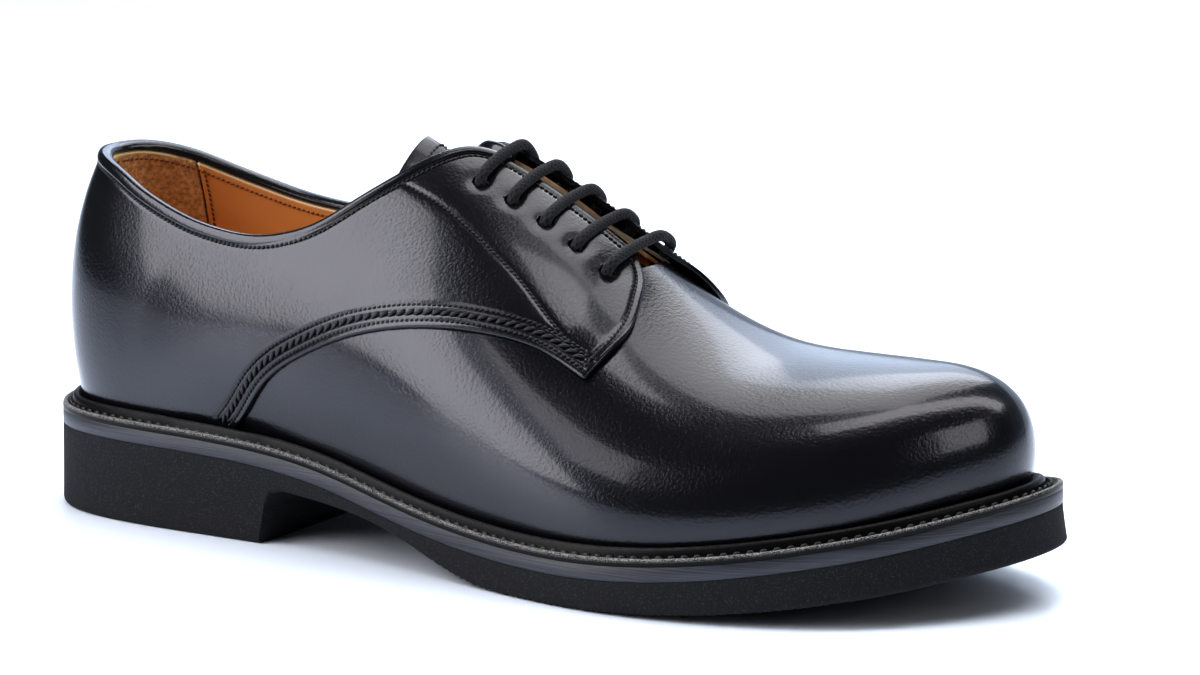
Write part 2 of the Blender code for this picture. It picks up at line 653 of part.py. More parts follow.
def seam_swell(share):
    return 1.0 * MM * ease(.185, .225, share) * (1 - ease(.275, .31, share))


def welt_profile(width, share):
    """Flat strip with a raised bead against the upper, which swells where the quarter's seam meets it."""
    bead = width - seam_swell(share)
    return [(0 * width, -WELT_THICKNESS), (0 * width, 0 * width), (bead - 3.9 * MM, 0 * width),
            (bead - 3.5 * MM, 1.9 * MM), (bead - 2.3 * MM, 2.5 * MM), (bead - 0.5 * MM, 0 * width),
            (width + 8 * MM, 0 * width), (width + 8 * MM, -WELT_THICKNESS)]


def rib_profile(width, share):
    return [(width + 8.3 * MM, FILLER[0]), (width + 8.3 * MM, FILLER[1]),
            (width + 10.1 * MM, FILLER[1]), (width + 10.1 * MM, FILLER[0])]


def thread_profile(width, share):
    middle = np.maximum((width - seam_swell(share) - 3.9 * MM) * 0.5, 0.45 * MM)
    half = 0.35 * MM
    top = GAP + 2 * half
    return [(middle - half, GAP), (middle - half, top), (middle + half, top), (middle + half, GAP)]


SHANK_X = (-0.100, -0.004)
SHANK_WIDTH = 0.013
SHANK = (-1.4 * MM, -0.6 * MM)
GROOVE_FLOOR = -1.7 * MM


def filler():
    """Cork that fills the space inside the welt, with a groove for the shank."""
    ends = [SHANK_X[0] - 0.002, SHANK_X[0] - 0.001, SHANK_X[1] + 0.001, SHANK_X[1] + 0.002]
    wall = SHANK_WIDTH / 2 + 0.0006

    def across(x, lateral, medial):
        middle = (lateral + medial) / 2
        reach = np.minimum(1, (medial - lateral) / 2 / (wall * 2))
        inner = [middle + d * reach for d in (-wall - 0.0004, -wall, wall, wall + 0.0004)]
        return [lateral, *inner, medial]

    def high(x, y):
        inside = (x > ends[0] + 1e-5) & (x < ends[3] - 1e-5)
        floor = np.zeros(x.shape, bool)
        floor[:, 2:4] = True
        return welt_top(x) + np.where(inside & floor, GROOVE_FLOOR, FILLER[1])

    return add_plate("cork_filler", 10.5 * MM, True, above_welt(FILLER[0]), high, CORK, extra=ends,
                     groove=across)


def shank():
    """Steel stiffener of the waist, in the filler's groove."""
    x = np.linspace(SHANK_X[0], SHANK_X[1], 9)
    lateral = np.interp(x, *edge_curve(LATERAL, 10.5 * MM, True).T)
    medial = np.interp(x, *edge_curve(MEDIAL, 10.5 * MM, True).T)
    middle = (lateral + medial) / 2
    rows = np.stack([np.stack([x, middle + d], -1) for d in (-SHANK_WIDTH / 2, SHANK_WIDTH / 2)], 1)
    outer = np.concatenate([rows, (welt_top(rows[..., 0]) + SHANK[1])[..., None]], -1)
    inner = np.concatenate([rows, (welt_top(rows[..., 0]) + SHANK[0])[..., None]], -1)
    return add_sheet("shank", [outer], [inner], STEEL)


# ---------------------------------------------------------------- eyelets and lace

def eyelet_frame(side, number):
    """Centre on the quarter's face, outward normal, and the direction over the surface towards the crest."""
    station, rise = EYELETS[number]
    station = np.array([station])
    rise = np.array([rise])
    raised = LAP * lap(station, rise)
    centre = surface(side, station, rise, raised)[0]
    normal = unit(surface(side, station, rise, raised + MM)[0] - centre)
    inward = surface(side, station, rise + .02, raised)[0] - centre
    inward = unit(inward - normal * np.dot(inward, normal))
    return centre, normal, inward, raised[0]


def eyelet_cutter(side, number):
    centre, normal, inward, _ = eyelet_frame(side, number)
    depth = 8 * MM
    mesh = bpy.data.meshes.new("eyelet_cutter")
    shape = bmesh.new()
    bmesh.ops.create_cone(shape, cap_ends=True, segments=10, radius1=EYELET_RADIUS, radius2=EYELET_RADIUS,
                          depth=depth)
    third = np.cross(normal, inward)
    turn = np.stack([inward, third, normal], 1)
    for vertex in shape.verts:
        vertex.co = turn @ np.array(vertex.co) + centre - normal * 2 * MM
    bmesh.ops.recalc_face_normals(shape, faces=shape.faces)
    shape.to_mesh(mesh)
    shape.free()
    cutter = bpy.data.objects.new("eyelet_cutter", mesh)
    bpy.context.scene.collection.objects.link(cutter)
    cutter.hide_render = True
    cutter.display_type = "WIRE"
    return cutter


def punch_eyelets(side, pieces):
    for number in range(len(EYELETS)):
        cutter = eyelet_cutter(side, number)
        for piece in pieces:
            cut = piece.modifiers.new(f"eyelet_{number}", "BOOLEAN")
            cut.operation = "DIFFERENCE"
            cut.solver = "EXACT"
            cut.object = cutter


LACE_BEND = 2.25 * MM                    # radius of the lace's middle where it turns over an eyelet's edge


def through_eyelet(side, number, turn=(1, 0)):
    """The lace's middle line from under a facing, through its eyelet, and over towards the crest.

    turn says which way the lace leaves below the facing: towards the crest and towards the heel.
    """
    centre, normal, inward, raised = eyelet_frame(side, number)
    heelward = np.cross(normal, inward) * -side
    away = inward * turn[0] + heelward * turn[1]
    depth = -LINING[0] + raised
    points = []
    for angle in (90, 45):
        swing = np.radians(angle)
        sideways = LACE_BEND * (1 - np.cos(swing))
        points.append(centre + away * sideways - normal * (depth + LACE_BEND * np.sin(swing)))
    points += [centre - normal * depth, centre]
    for angle in (45, 90):
        swing = np.radians(angle)
        points.append(centre + inward * LACE_BEND * (1 - np.cos(swing)) + normal * LACE_BEND * np.sin(swing))
    return points


def over_the_gap(number):
    """The middle of a bar, between its two eyelets."""
    station = EYELETS[number][0]
    raised = LAP * float(lap(np.array(station), np.array(.9)))
    points = []
    for side, rise in ((LATERAL, .92), (LATERAL, 1), (MEDIAL, .92)):
        height = raised + LACE_RADIUS + (0.9 if rise == 1 else 0.7) * MM
        points.append(surface(side, np.array([station]), np.array([rise]), height)[0])
    return points


def under_the_facings(number):
    """The slanting run below the facings, from a lateral eyelet to the next medial one."""
    points = []
    depth = LINING[0] - LACE_RADIUS - 0.5 * MM
    for share, side, rise in ((.3, LATERAL, .90), (.5, LATERAL, 1), (.7, MEDIAL, .90)):
        station = EYELETS[number][0] + share * (EYELETS[number + 1][0] - EYELETS[number][0])
        points.append(surface(side, np.array([station]), np.array([rise]), depth)[0])
    return points


def below_facing(side, places):
    """Points of a run that lies between the facing's lining and the tongue."""
    depth = LINING[0] - LACE_RADIUS - 0.5 * MM
    return [surface(side, np.array([station]), np.array([rise]), depth)[0] for station, rise in places]


def lace_route():
    """From behind the top of the medial facing to the front eyelet, up the bars, and behind the last one."""
    last = len(EYELETS) - 1
    route = below_facing(MEDIAL, MEDIAL_RUN)
    for number in range(len(EYELETS)):
        route += through_eyelet(MEDIAL, number, (-.5, .866) if number == 0 else (1, 0))
        route += over_the_gap(number)[::-1]
        route += through_eyelet(LATERAL, number, (-.5, .866) if number == last else (1, 0))[::-1]
        if number < last:
            route += under_the_facings(number)
    return route + below_facing(LATERAL, LATERAL_RUN)


def add_cord(name, points, radius, finish):
    curve = bpy.data.curves.new(name, "CURVE")
    curve.dimensions = "3D"
    spline = curve.splines.new("POLY")
    spline.points.add(len(points) - 1)
    for point, spot in zip(spline.points, points):
        point.co = (*spot, 1)
    curve.bevel_depth = radius
    curve.bevel_resolution = 2
    curve.use_fill_caps = True
    return add_object(name, curve, finish)


def smooth_route(points, step):
    """Evenly spaced points of a smooth curve through the route's own points."""
    points = np.array(points, float)
    keys = np.concatenate([[0], np.cumsum(np.linalg.norm(np.diff(points, axis=0), axis=1))])
    fine = smooth_curve(keys, points, np.linspace(0, keys[-1], 2000))
    length = np.concatenate([[0], np.cumsum(np.linalg.norm(np.diff(fine, axis=0), axis=1))])
    count = int(np.ceil(length[-1] / step))
    even = np.linspace(0, length[-1], count + 1)
    return np.stack([np.interp(even, length, fine[:, i]) for i in range(3)], 1)


def held_lace():
    return add_cord("lace", lace_route(), LACE_RADIUS, COTTON)


def free_end(word, route):
    """A free end of the lace, with the aglet on its tip."""
    points = smooth_route(np.array(route) * MM, CORD_STEP)
    add_cord(f"lace_end_{word}", points, LACE_RADIUS, COTTON)
    along = unit(points[-1] - points[-2])
    along[2] = 0
    start = points[-1] + along * GAP
    add_cord(f"aglet_{word}", [start, start + along * AGLET_LENGTH], AGLET_RADIUS, AGLET)


def build_bottom():
    outsole()
    add_plate("midsole", 0.0, False, above_welt(MIDSOLE[0]), above_welt(MIDSOLE[1]), MIDSOLE_EDGE)
    ring(welt_profile, 76, "welt", WELT_LEATHER)
    ring(thread_profile, 76, "welt_thread", THREAD)
    ring(rib_profile, 60, "insole_rib", CANVAS)
    filler()
    shank()
    add_plate("insole", 4.7 * MM, True, above_welt(INSOLE[0]), above_welt(INSOLE[1]), LEATHER_INSOLE,
              steps=24)
    add_plate("sock_liner", 5.0 * MM, True, above_welt(SOCK[0]), above_welt(SOCK[1]), LEATHER_TAN, steps=24)


def build_upper(ball_pivot, tongue_pivot):
    vamp()
    front_sheet("vamp_lining", [s for s in FRONT_STATIONS if s > .62], LINING, LEATHER_TAN)
    front_sheet("toe_puff", [s for s in FRONT_STATIONS if s >= .85], BETWEEN, STIFFENER, ball_pivot)
    for side, word in ((LATERAL, "lateral"), (MEDIAL, "medial")):
        pieces = [quarter(f"quarter_{word}", side), quarter_lining(f"quarter_lining_{word}", side),
                  facing_stay(f"facing_stay_{word}", side)]
        punch_eyelets(side, pieces)
    heel_band("heel_grip", .126, ROWS, 1, LINING, SUEDE_TAN)
    heel_band("heel_counter", .19, 5, .70, BETWEEN, STIFFENER)
    heel_band("heel_back_strip", .014, 5, .97, STRIP, LEATHER_BLACK, bottom=.45)
    topline_binding()
    tongue_sheet("tongue", tongue_pivot, 0, LEATHER_BLACK)
    tongue_sheet("tongue_lining", tongue_pivot, -TONGUE_THICKNESS - GAP, LEATHER_TAN)


def main():
    clear_scene()
    ball_pivot = add_pivot("ball_pivot", BALL_AXIS)
    tongue_pivot = add_pivot("tongue_pivot", TONGUE_AXIS)
    build_bottom()
    build_upper(ball_pivot, tongue_pivot)
    held_lace()
    free_end("lateral", LATERAL_END)
    free_end("medial", MEDIAL_END)


main()
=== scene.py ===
"""Looks of a black plain-toe derby shoe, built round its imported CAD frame.

Metres, in the frame's own axes: +X from heel to toe, +Y to the inner side, +Z up. The upper is drawn on the
same smooth surface as the CAD: a station runs from 0 at the heel to 1 at the toe, a rise from 0 at the welt
to 1 at the crest, and every layer is a patch of it, moved outwards or inwards.
"""
import math
import bpy
import bmesh
import numpy as np
from mathutils import Matrix, Quaternion, Vector
from mathutils.kdtree import KDTree


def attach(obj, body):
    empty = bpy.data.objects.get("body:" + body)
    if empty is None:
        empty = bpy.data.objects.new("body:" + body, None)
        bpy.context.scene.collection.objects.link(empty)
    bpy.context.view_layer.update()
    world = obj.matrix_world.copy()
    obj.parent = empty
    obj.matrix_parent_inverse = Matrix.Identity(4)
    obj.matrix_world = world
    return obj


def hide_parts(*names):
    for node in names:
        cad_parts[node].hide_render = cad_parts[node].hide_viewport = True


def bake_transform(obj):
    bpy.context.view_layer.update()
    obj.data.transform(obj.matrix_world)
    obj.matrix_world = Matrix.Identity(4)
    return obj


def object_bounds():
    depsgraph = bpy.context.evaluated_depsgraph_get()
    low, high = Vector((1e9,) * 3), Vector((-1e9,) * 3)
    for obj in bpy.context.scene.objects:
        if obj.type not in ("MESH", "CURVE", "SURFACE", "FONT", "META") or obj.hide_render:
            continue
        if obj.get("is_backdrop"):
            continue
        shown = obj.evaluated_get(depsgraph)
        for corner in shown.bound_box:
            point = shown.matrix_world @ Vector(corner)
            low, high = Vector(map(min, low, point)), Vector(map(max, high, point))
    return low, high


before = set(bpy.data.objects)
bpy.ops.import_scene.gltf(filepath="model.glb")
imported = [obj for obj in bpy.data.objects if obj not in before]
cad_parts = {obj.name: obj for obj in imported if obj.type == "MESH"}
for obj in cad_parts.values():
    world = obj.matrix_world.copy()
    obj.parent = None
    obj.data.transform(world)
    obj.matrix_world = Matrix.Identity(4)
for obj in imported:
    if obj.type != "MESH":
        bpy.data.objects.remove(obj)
cad_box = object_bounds()

MM = 0.001
LENGTH = 0.305               # heel back to toe tip, along the sole's outer edge

# The sole's outer edge, in mm from the back of the heel and from the heel's centre line.
LATERAL_EDGE = [(0, 0), (4, -17), (14, -29), (32, -36), (60, -38.5), (100, -40), (140, -46), (175, -54),
                (205, -58.5), (232, -56), (257, -47.5), (279, -33.5), (295, -14.5), (302.5, -2)]
MEDIAL_EDGE = [(305, 12), (302, 24.5), (292, 37), (275, 46.5), (250, 52.5), (222, 53), (175, 47),
               (140, 38), (100, 32.5), (60, 33.5), (30, 33), (12, 26), (3.5, 15)]
MIDDLE = -2.62 * MM          # middle of the sole's width, measured from the heel's centre line
# Height of the welt's top face above the ground, in mm, at distances in mm from the shoe's middle.
WELT_TOP = [(-152.5, 29.5), (-110, 29.5), (-75, 28.5), (-45, 25.2), (-15, 18.9), (15, 15.2), (45, 14.6),
            (75, 16.6), (110, 21.8), (135, 27), (152.5, 31.5)]
# Crest of the upper: distance from the shoe's middle, sideways shift and height, in mm.
CREST = [(-150, -1, 112), (-120, -1, 119), (-90, 0, 122), (-60, 1, 121), (-30, 2.5, 115), (0, 4.5, 104),
         (25, 6, 88.5), (50, 8, 72.5), (75, 10, 63), (95, 11.5, 61.5), (120, 12.5, 61)]
# Shape of the sides by station (0 heel, 1 toe): welt width in mm, flare in degrees, fullness low and high.
LATERAL_SHAPE = [(0, 6.5, 14, .62, .35), (.15, 6.2, 14, .62, .30), (.35, 5.4, 22, .60, .34),
                 (.5, 5.6, 27, .56, .50), (.62, 6, 24, .52, .60), (.75, 7, 16, .56, .62),
                 (.88, 8, 12, .62, .66), (1, 8.5, 12, .74, .80)]
MEDIAL_SHAPE = [(0, 6.5, 14, .62, .35), (.15, 6.2, 13, .62, .30), (.35, 5.4, 24, .60, .34),
                (.5, 5.6, 26, .56, .42), (.62, 6, 18, .54, .46), (.75, 7, 14, .56, .52),
                (.88, 8, 12, .62, .62), (1, 8.5, 12, .74, .80)]
HEEL_POLE = -0.130           # the crest's lines close on these two points
TOE_POLE = 0.119
POLE_SOFTNESS = 0.009

# Layers of the upper, in mm from its outer face; every pair of neighbours keeps a small gap.
GAP = 0.3 * MM
UPPER = (-1.4 * MM, 0.0)
LINING = (-3.8 * MM, -3.0 * MM)
LAP = 1.9 * MM                           # how far the quarters stand out where they lie over the vamp
TIP_SINK = 1.2 * MM                      # how far the vamp's tip and the quarter over it sink at the welt

# Layers of the bottom, from the welt's top face.
SOLE_TOP = -6.1 * MM
MIDSOLE = (SOLE_TOP, -2.02 * MM)

# Edges of the pieces, as (station, rise). Most of these numbers came out of a program that placed points
# traced on the photo on the upper's surface.
COLLAR = [(0, .590), (.05, .586), (.086, .568), (.13, .522), (.158, .478), (.184, .443), (.215, .411),
          (.25, .393), (.288, .396), (.318, .424), (.350, .488), (.375, .578), (.398, .684), (.416, .792),
          (.429, .870), (.445, .918), (.47, .933), (.52, .935), (.61, .935)]
SEAM = [(.262, 0), (.275, .030), (.303, .110), (.344, .196), (.394, .285), (.441, .357), (.485, .417),
        (.526, .471), (.563, .507), (.60, .502)]
SEAM_START = SEAM[0][0]
QUARTER_FRONT = [(0, .599), (.24, .606), (.47, .608), (.72, .598), (.93, .581), (1, .570)]
LINING_FRONT = [(0, .605), (.5, .600), (.80, .588), (1, .570)]
VAMP_BACK = [(.18, -.20), (.21, -.04), (.235, .05), (.26, .12), (.303, .235), (.344, .315), (.394, .395),
             (.441, .455), (.485, .510), (.526, .560), (.555, .60), (.572, .68), (.583, 1)]
VAMP_TIP = .238
THROAT = .583
TONGUE_LIFT = [(.385, -4.9), (.395, -5.7), (.41, -7.3), (.43, -8.3), (.46, -8.4), (.55, -8.4), (.568, -8.0),
               (.585, -5.8), (.60, -3.4), (.612, -2.2)]
TONGUE_EDGE = [(.385, .615), (.40, .625), (.42, .655), (.45, .66), (.55, .68), (.59, .74), (.612, .80)]
TONGUE_STATIONS = [.385, .392, .40, .41, .425, .44, .46, .485, .51, .535, .555, .57, .585, .60, .612]
TONGUE_THICKNESS = 1.2 * MM
EYELETS = [(.569, .806), (.541, .808), (.513, .804), (.484, .797), (.455, .789)]     # front to back
EYELET_RADIUS = 2.3 * MM
LACE_RADIUS = 1.75 * MM
PULLED_RADIUS = 1.55 * MM                # the held run, drawn tight over the facings
MEDIAL_RUN = [(.422, .63), (.430, .675), (.447, .70), (.48, .705), (.51, .71), (.545, .72)]
LATERAL_RUN = [(.438, .73), (.428, .68), (.422, .63)]
# Free ends of the lace, in mm: down the lining beside the tongue, then along the sock liner to the heel seat.
# The stretches down the lining were worked out from the upper's surface.
LATERAL_END = [(-22.7, -16.6, 91.9), (-23.9, -20.6, 86.8), (-25.9, -24.7, 81.1), (-28.5, -28.1, 75),
               (-31.7, -30.6, 68.6), (-35.6, -32, 61.8), (-40.2, -32.3, 54.7), (-46.3, -31.3, 48.5),
               (-53.4, -29.6, 43.1), (-60.7, -27.9, 39.5), (-68, -26, 37), (-76, -23.8, 35.6),
               (-84, -21.4, 35.1), (-92, -19.2, 35.3), (-99.5, -16, 35.5), (-104, -9.5, 35.6),
               (-102.5, -2, 35.6), (-96, 2.2, 35.5)]
MEDIAL_END = [(-22.7, 20.8, 92.1), (-24, 23.5, 87.6), (-25.8, 26.7, 81.4), (-28.4, 29.2, 75.1),
              (-31.7, 31, 68.6), (-35.5, 31.8, 61.8), (-40.1, 31.5, 54.7), (-46.3, 30.2, 48.5),
              (-53.4, 28.4, 43.2), (-60.8, 26.6, 39.6), (-68.5, 24.8, 37), (-77, 23, 35.6),
              (-86, 21.8, 35.2), (-95, 21, 35.4), (-104, 19.4, 35.6), (-112.5, 16, 35.7),
              (-119.5, 10.8, 35.7)]

# Underside of the outsole, in mm: heel, breast, arched waist, tread.
BREAST = [(-152.5, 0), (-65, 0), (-62.8, 11), (-61, 14.6), (-57.5, 15.6)]
WAIST = [(-57.5, 15.6), (-36, 13.5), (-20, 10.4), (-7.6, 6.3), (4.7, 2.4), (15, .5), (24, 0)]
TREAD_FLAT_TO = 40
TOE_SPRING = 14.5

# Stations of the upper's columns: round the heel, along the sides, over the forepart.
REAR_STATIONS = [.0005, .014, .03, .05, .075, .10, .125, .155, .19, .225, .262]
SIDE_STATIONS = [.262, .285, .31, .335, .355, .375, .39, .405, .42, .435, .455, .48, .505, .53, .555, .58,
                 .599]
FRONT_STATIONS = [.583, .602, .622, .645, .67, .70, .73, .76, .79, .82, .85, .88, .905, .93, .955, .98, 1]


def second_derivatives(gaps, values, periodic):
    count = len(values)
    matrix = np.zeros((count, count))
    right = np.zeros_like(values)
    for i in range(count):
        if not periodic and i in (0, count - 1):
            matrix[i, i] = 1
            continue
        before = gaps[i - 1]
        after = gaps[i % len(gaps)]
        ahead = (i + 1) % count
        matrix[i, i - 1] += before
        matrix[i, i] += 2 * (before + after)
        matrix[i, ahead] += after
        right[i] = 6 * ((values[ahead] - values[i]) / after - (values[i] - values[i - 1]) / before)
    return np.linalg.solve(matrix, right)


SOLVED = {}                              # second derivatives of the curves met so far


def smooth_curve(keys, values, at, periodic=False):
    """Cubic spline through the values. A periodic one has one more key, where it starts again."""
    keys = np.asarray(keys, float)
    values = np.asarray(values, float).reshape(len(values), -1)
    at = np.asarray(at, float)
    gaps = np.diff(keys)
    key = (gaps.tobytes(), values.tobytes())
    if key not in SOLVED:
        SOLVED[key] = second_derivatives(gaps, values, periodic)
    bend = SOLVED[key]
    if periodic:
        values = np.vstack([values, values[:1]])
        bend = np.vstack([bend, bend[:1]])
        at = keys[0] + np.mod(at - keys[0], keys[-1] - keys[0])
    at = np.clip(at, keys[0], keys[-1])
    i = np.clip(np.searchsorted(keys, at, side="right") - 1, 0, len(gaps) - 1)
    gap = gaps[i][..., None]
    t = (at - keys[i])[..., None]
    s = gap - t
    return ((bend[i] * s**3 + bend[i + 1] * t**3) / (6 * gap)
            + (values[i] / gap - bend[i] * gap / 6) * s
            + (values[i + 1] / gap - bend[i + 1] * gap / 6) * t)


def table_curve(table, at):
    table = np.asarray(table, float)
    found = smooth_curve(table[:, 0], table[:, 1:], at)
    return found[..., 0] if table.shape[1] == 2 else found


def unit(vectors):
    return vectors / np.linalg.norm(vectors, axis=-1, keepdims=True)


def lengths_along(points):
    """The distance along a line to each of its points."""
    return np.concatenate([[0], np.cumsum(np.linalg.norm(np.diff(points, axis=0), axis=1))])


def read_along(at, lengths, values):
    """A line's values at some distances along it."""
    return np.stack([np.interp(at, lengths, column) for column in values.T], -1)


def cosine_steps(count):
    """Values from 0 to 1 that lie closer together at both ends."""
    return 0.5 - 0.5 * np.cos(np.linspace(0, np.pi, count))


class Outline:
    """The sole's outer edge, by the distance round it from the back of the heel, lateral side first."""

    def __init__(self):
        points = np.array(LATERAL_EDGE + MEDIAL_EDGE) * MM
        points[:, 0] -= LENGTH / 2
        points[:, 1] -= MIDDLE
        keys = lengths_along(np.vstack([points, points[:1]]))
        ring = smooth_curve(keys, points, np.linspace(0, keys[-1], 6001), periodic=True)
        self.ring = ring
        self.arcs = lengths_along(ring)
        self.girth = self.arcs[-1]
        near_heel = np.abs(np.mod(self.arcs + self.girth / 2, self.girth) - self.girth / 2) < 0.02
        self.heel = self.arcs[np.where(near_heel, ring[:, 0], 9).argmin()]
        self.toe = self.arcs[ring[:, 0].argmax()]
        reach = 4
        along = np.roll(ring[:-1], -reach, axis=0) - np.roll(ring[:-1], reach, axis=0)
        along = np.vstack([along, along[:1]])
        self.normals = unit(np.stack([along[:, 1], -along[:, 0]], -1))

    def at(self, arc):
        return read_along(np.mod(arc, self.girth), self.arcs, self.ring)

    def outward(self, arc):
        return unit(read_along(np.mod(arc, self.girth), self.arcs, self.normals))


OUTLINE = Outline()
LATERAL, MEDIAL = -1, 1


def side_shape(side, station):
    shape = table_curve(LATERAL_SHAPE if side == LATERAL else MEDIAL_SHAPE, station)
    return shape[..., 0] * MM, np.radians(shape[..., 1]), shape[..., 2], shape[..., 3]


def raw_arc(side, share):
    heel = OUTLINE.heel - (OUTLINE.girth if OUTLINE.heel > OUTLINE.girth / 2 else 0)
    if side == LATERAL:
        return heel + share * (OUTLINE.toe - heel)
    return heel + OUTLINE.girth - share * (heel + OUTLINE.girth - OUTLINE.toe)


def feather_edge(side, share):
    """Where the upper meets the welt, by the share of the way round from heel to toe."""
    arc = raw_arc(side, share)
    return OUTLINE.at(arc) - OUTLINE.outward(arc) * side_shape(side, share)[0][..., None]


SHARES = cosine_steps(1201)
STATION_X = np.maximum.accumulate(feather_edge(LATERAL, SHARES)[:, 0])
MEDIAL_X = np.maximum.accumulate(feather_edge(MEDIAL, SHARES)[:, 0])


def share_at(side, station):
    """A station is a share of the lateral edge, and the medial side has the same x there."""
    if side == LATERAL:
        return station
    x = np.interp(station, SHARES, STATION_X)
    return np.interp(x, MEDIAL_X + np.arange(len(SHARES)) * 1e-12, SHARES)


def welt_top(x):
    return table_curve(WELT_TOP, x / MM) * MM


def soft_limits(x):
    x = TOE_POLE - POLE_SOFTNESS * np.log1p(np.exp((TOE_POLE - x) / POLE_SOFTNESS))
    return HEEL_POLE + POLE_SOFTNESS * np.log1p(np.exp((x - HEEL_POLE) / POLE_SOFTNESS))


def crest(x):
    shift, height = np.moveaxis(table_curve(CREST, x / MM) * MM, -1, 0)
    return np.stack([x, shift - MIDDLE, height], -1)


def bare_surface(side, station, rise):
    share = share_at(side, station)
    edge = feather_edge(side, share)
    foot = np.concatenate([edge, welt_top(edge[..., 0])[..., None]], -1)
    x = soft_limits(edge[..., 0])
    top = crest(x)
    _, flare, low, high = side_shape(side, share)
    outward = OUTLINE.outward(raw_arc(side, share))
    start = np.concatenate([outward * np.sin(flare)[..., None], np.cos(flare)[..., None]], -1)
    along = crest(x + MM / 2) - crest(x - MM / 2)
    along[..., 1] = 0
    along = unit(along)
    down = edge - top[..., :2]
    reach = np.linalg.norm(down, axis=-1, keepdims=True)
    down = down / reach
    across = down[..., :1] * along + down[..., 1:] * np.array([0, 1, 0])
    low_handle = foot + start * (low * (top[..., 2] - foot[..., 2]))[..., None]
    high_handle = top + across * high[..., None] * reach
    t = rise[..., None]
    s = 1 - t
    return foot * s**3 + 3 * low_handle * s * s * t + 3 * high_handle * s * t * t + top * t**3


def surface(side, station, rise, offset=0.0):
    """A point of the upper's outer face: rise goes from 0 at the welt to 1 at the crest."""
    station, rise = np.broadcast_arrays(np.asarray(station, float), np.asarray(rise, float))
    point = bare_surface(side, station, rise)
    step = 1e-3
    middle = np.clip(station, 2 * step, 1 - 2 * step)
    below = np.clip(rise, 2 * step, 1 - 2 * step)
    forward = bare_surface(side, middle + step, below) - bare_surface(side, middle - step, below)
    upward = bare_surface(side, station, below + step) - bare_surface(side, station, below - step)
    normal = unit(np.cross(upward, forward)) * side
    x = point[..., 0]
    along = crest(x + MM / 2) - crest(x - MM / 2)
    up = unit(np.stack([-along[..., 2], 0 * x, along[..., 0]], -1))
    normal = np.where((rise > 1 - step)[..., None], up, normal)
    return point + normal * np.broadcast_to(offset, station.shape)[..., None]


# ---------------------------------------------------------------- patches of the upper

def ease(low, high, value):
    t = np.clip((value - low) / (high - low), 0, 1)
    return t * t * (3 - 2 * t)


def collar(station):
    return table_curve(COLLAR, station)


def seam(station):
    return np.where(station > SEAM_START, table_curve(SEAM, station), 0)


def lap(station, rise):
    """1 where a quarter lies over the vamp, easing to 0 where it lies on the last."""
    edge = np.minimum(table_curve(VAMP_BACK, station), .60)
    over_wing = 1 - ease(edge + .02, edge + .15, rise)
    over_throat = ease(.530, .570, station)
    return 1 - (1 - over_wing) * (1 - over_throat)


def sink(station, rise):
    """1 where the vamp's thinned tip meets the welt, so that the pieces lie flat there."""
    return (1 - ease(.27, .34, station)) * (1 - ease(.04, .16, rise))


def waves(points):
    """Slow, shallow unevenness of lasted leather, which breaks up its reflections."""
    x, y, z = np.moveaxis(points / MM, -1, 0)
    long_wave = np.sin(x / 17 + z / 23) * np.sin(z / 13 - y / 31 + 1.3)
    short_wave = np.sin(x / 7.3 - z / 9.1 + .7) * np.sin(z / 6.1 + y / 8.7 + x / 19)
    return (0.10 * long_wave + 0.025 * short_wave) * MM


def place(side, station, rise, offset):
    """Points of the surface, kept above the welt."""
    points = surface(side, station, rise, offset)
    points[..., 2] = np.maximum(points[..., 2], welt_top(points[..., 0]) + GAP)
    return points


def stretch(columns, count):
    """Count values that follow the spacing of a short list of columns."""
    columns = np.asarray(columns, float)
    return np.interp(np.linspace(0, len(columns) - 1, count), np.arange(len(columns)), columns)


def quarter_grid(columns, low, front, share):
    """Stations and rises of a side patch from the curve low up to the collar, ending at the front curve."""
    columns = np.asarray(columns, float)
    base = np.repeat(columns[:, None], len(share), 1)
    station = base + (table_curve(front, share) - columns[-1]) * (base / columns[-1]) ** 6
    return station, low(station) + share * (collar(station) - low(station))


def moved_in(side, station, rise, distance, turn):
    """A line of surface places moved sideways; turn is 1 or -1 for the side it moves to."""
    station = np.array(station, float)
    rise = np.array(rise, float)
    steps = 4
    small = 1e-3
    for _ in range(steps):
        here = surface(side, station, rise)
        by_station = (surface(side, station + small, rise) - here) / small
        by_rise = (surface(side, station, rise + small) - here) / small
        normal = np.cross(by_station, by_rise)
        along = np.gradient(here, axis=0)
        across = unit(np.cross(normal, along)) * turn * distance / steps
        a = (by_station * by_station).sum(-1)
        b = (by_station * by_rise).sum(-1)
        c = (by_rise * by_rise).sum(-1)
        p = (by_station * across).sum(-1)
        q = (by_rise * across).sum(-1)
        station = station + (c * p - b * q) / (a * c - b * b)
        rise = rise + (a * q - b * p) / (a * c - b * b)
    return station, rise


# ---------------------------------------------------------------- meshes

def add_object(name, data):
    item = bpy.data.objects.new(name, data)
    bpy.context.scene.collection.objects.link(item)
    return item


def mesh_piece(name, points, faces, material):
    """A closed mesh with its faces turned outwards."""
    mesh = bpy.data.meshes.new(name)
    mesh.from_pydata(np.asarray(points, float).tolist(), [], [list(map(int, f)) for f in faces])
    shape = bmesh.new()
    shape.from_mesh(mesh)
    bmesh.ops.recalc_face_normals(shape, faces=shape.faces)
    if shape.calc_volume(signed=True) < 0:
        bmesh.ops.reverse_faces(shape, faces=shape.faces)
    shape.to_mesh(mesh)
    shape.free()
    mesh.shade_smooth()
    mesh.materials.append(material)
    return add_object(name, mesh)


def quads(numbers):
    return np.stack([numbers[:-1, :-1].ravel(), numbers[1:, :-1].ravel(),
                     numbers[1:, 1:].ravel(), numbers[:-1, 1:].ravel()], 1)


WELD = 0.02 * MM                         # points about this close count as one


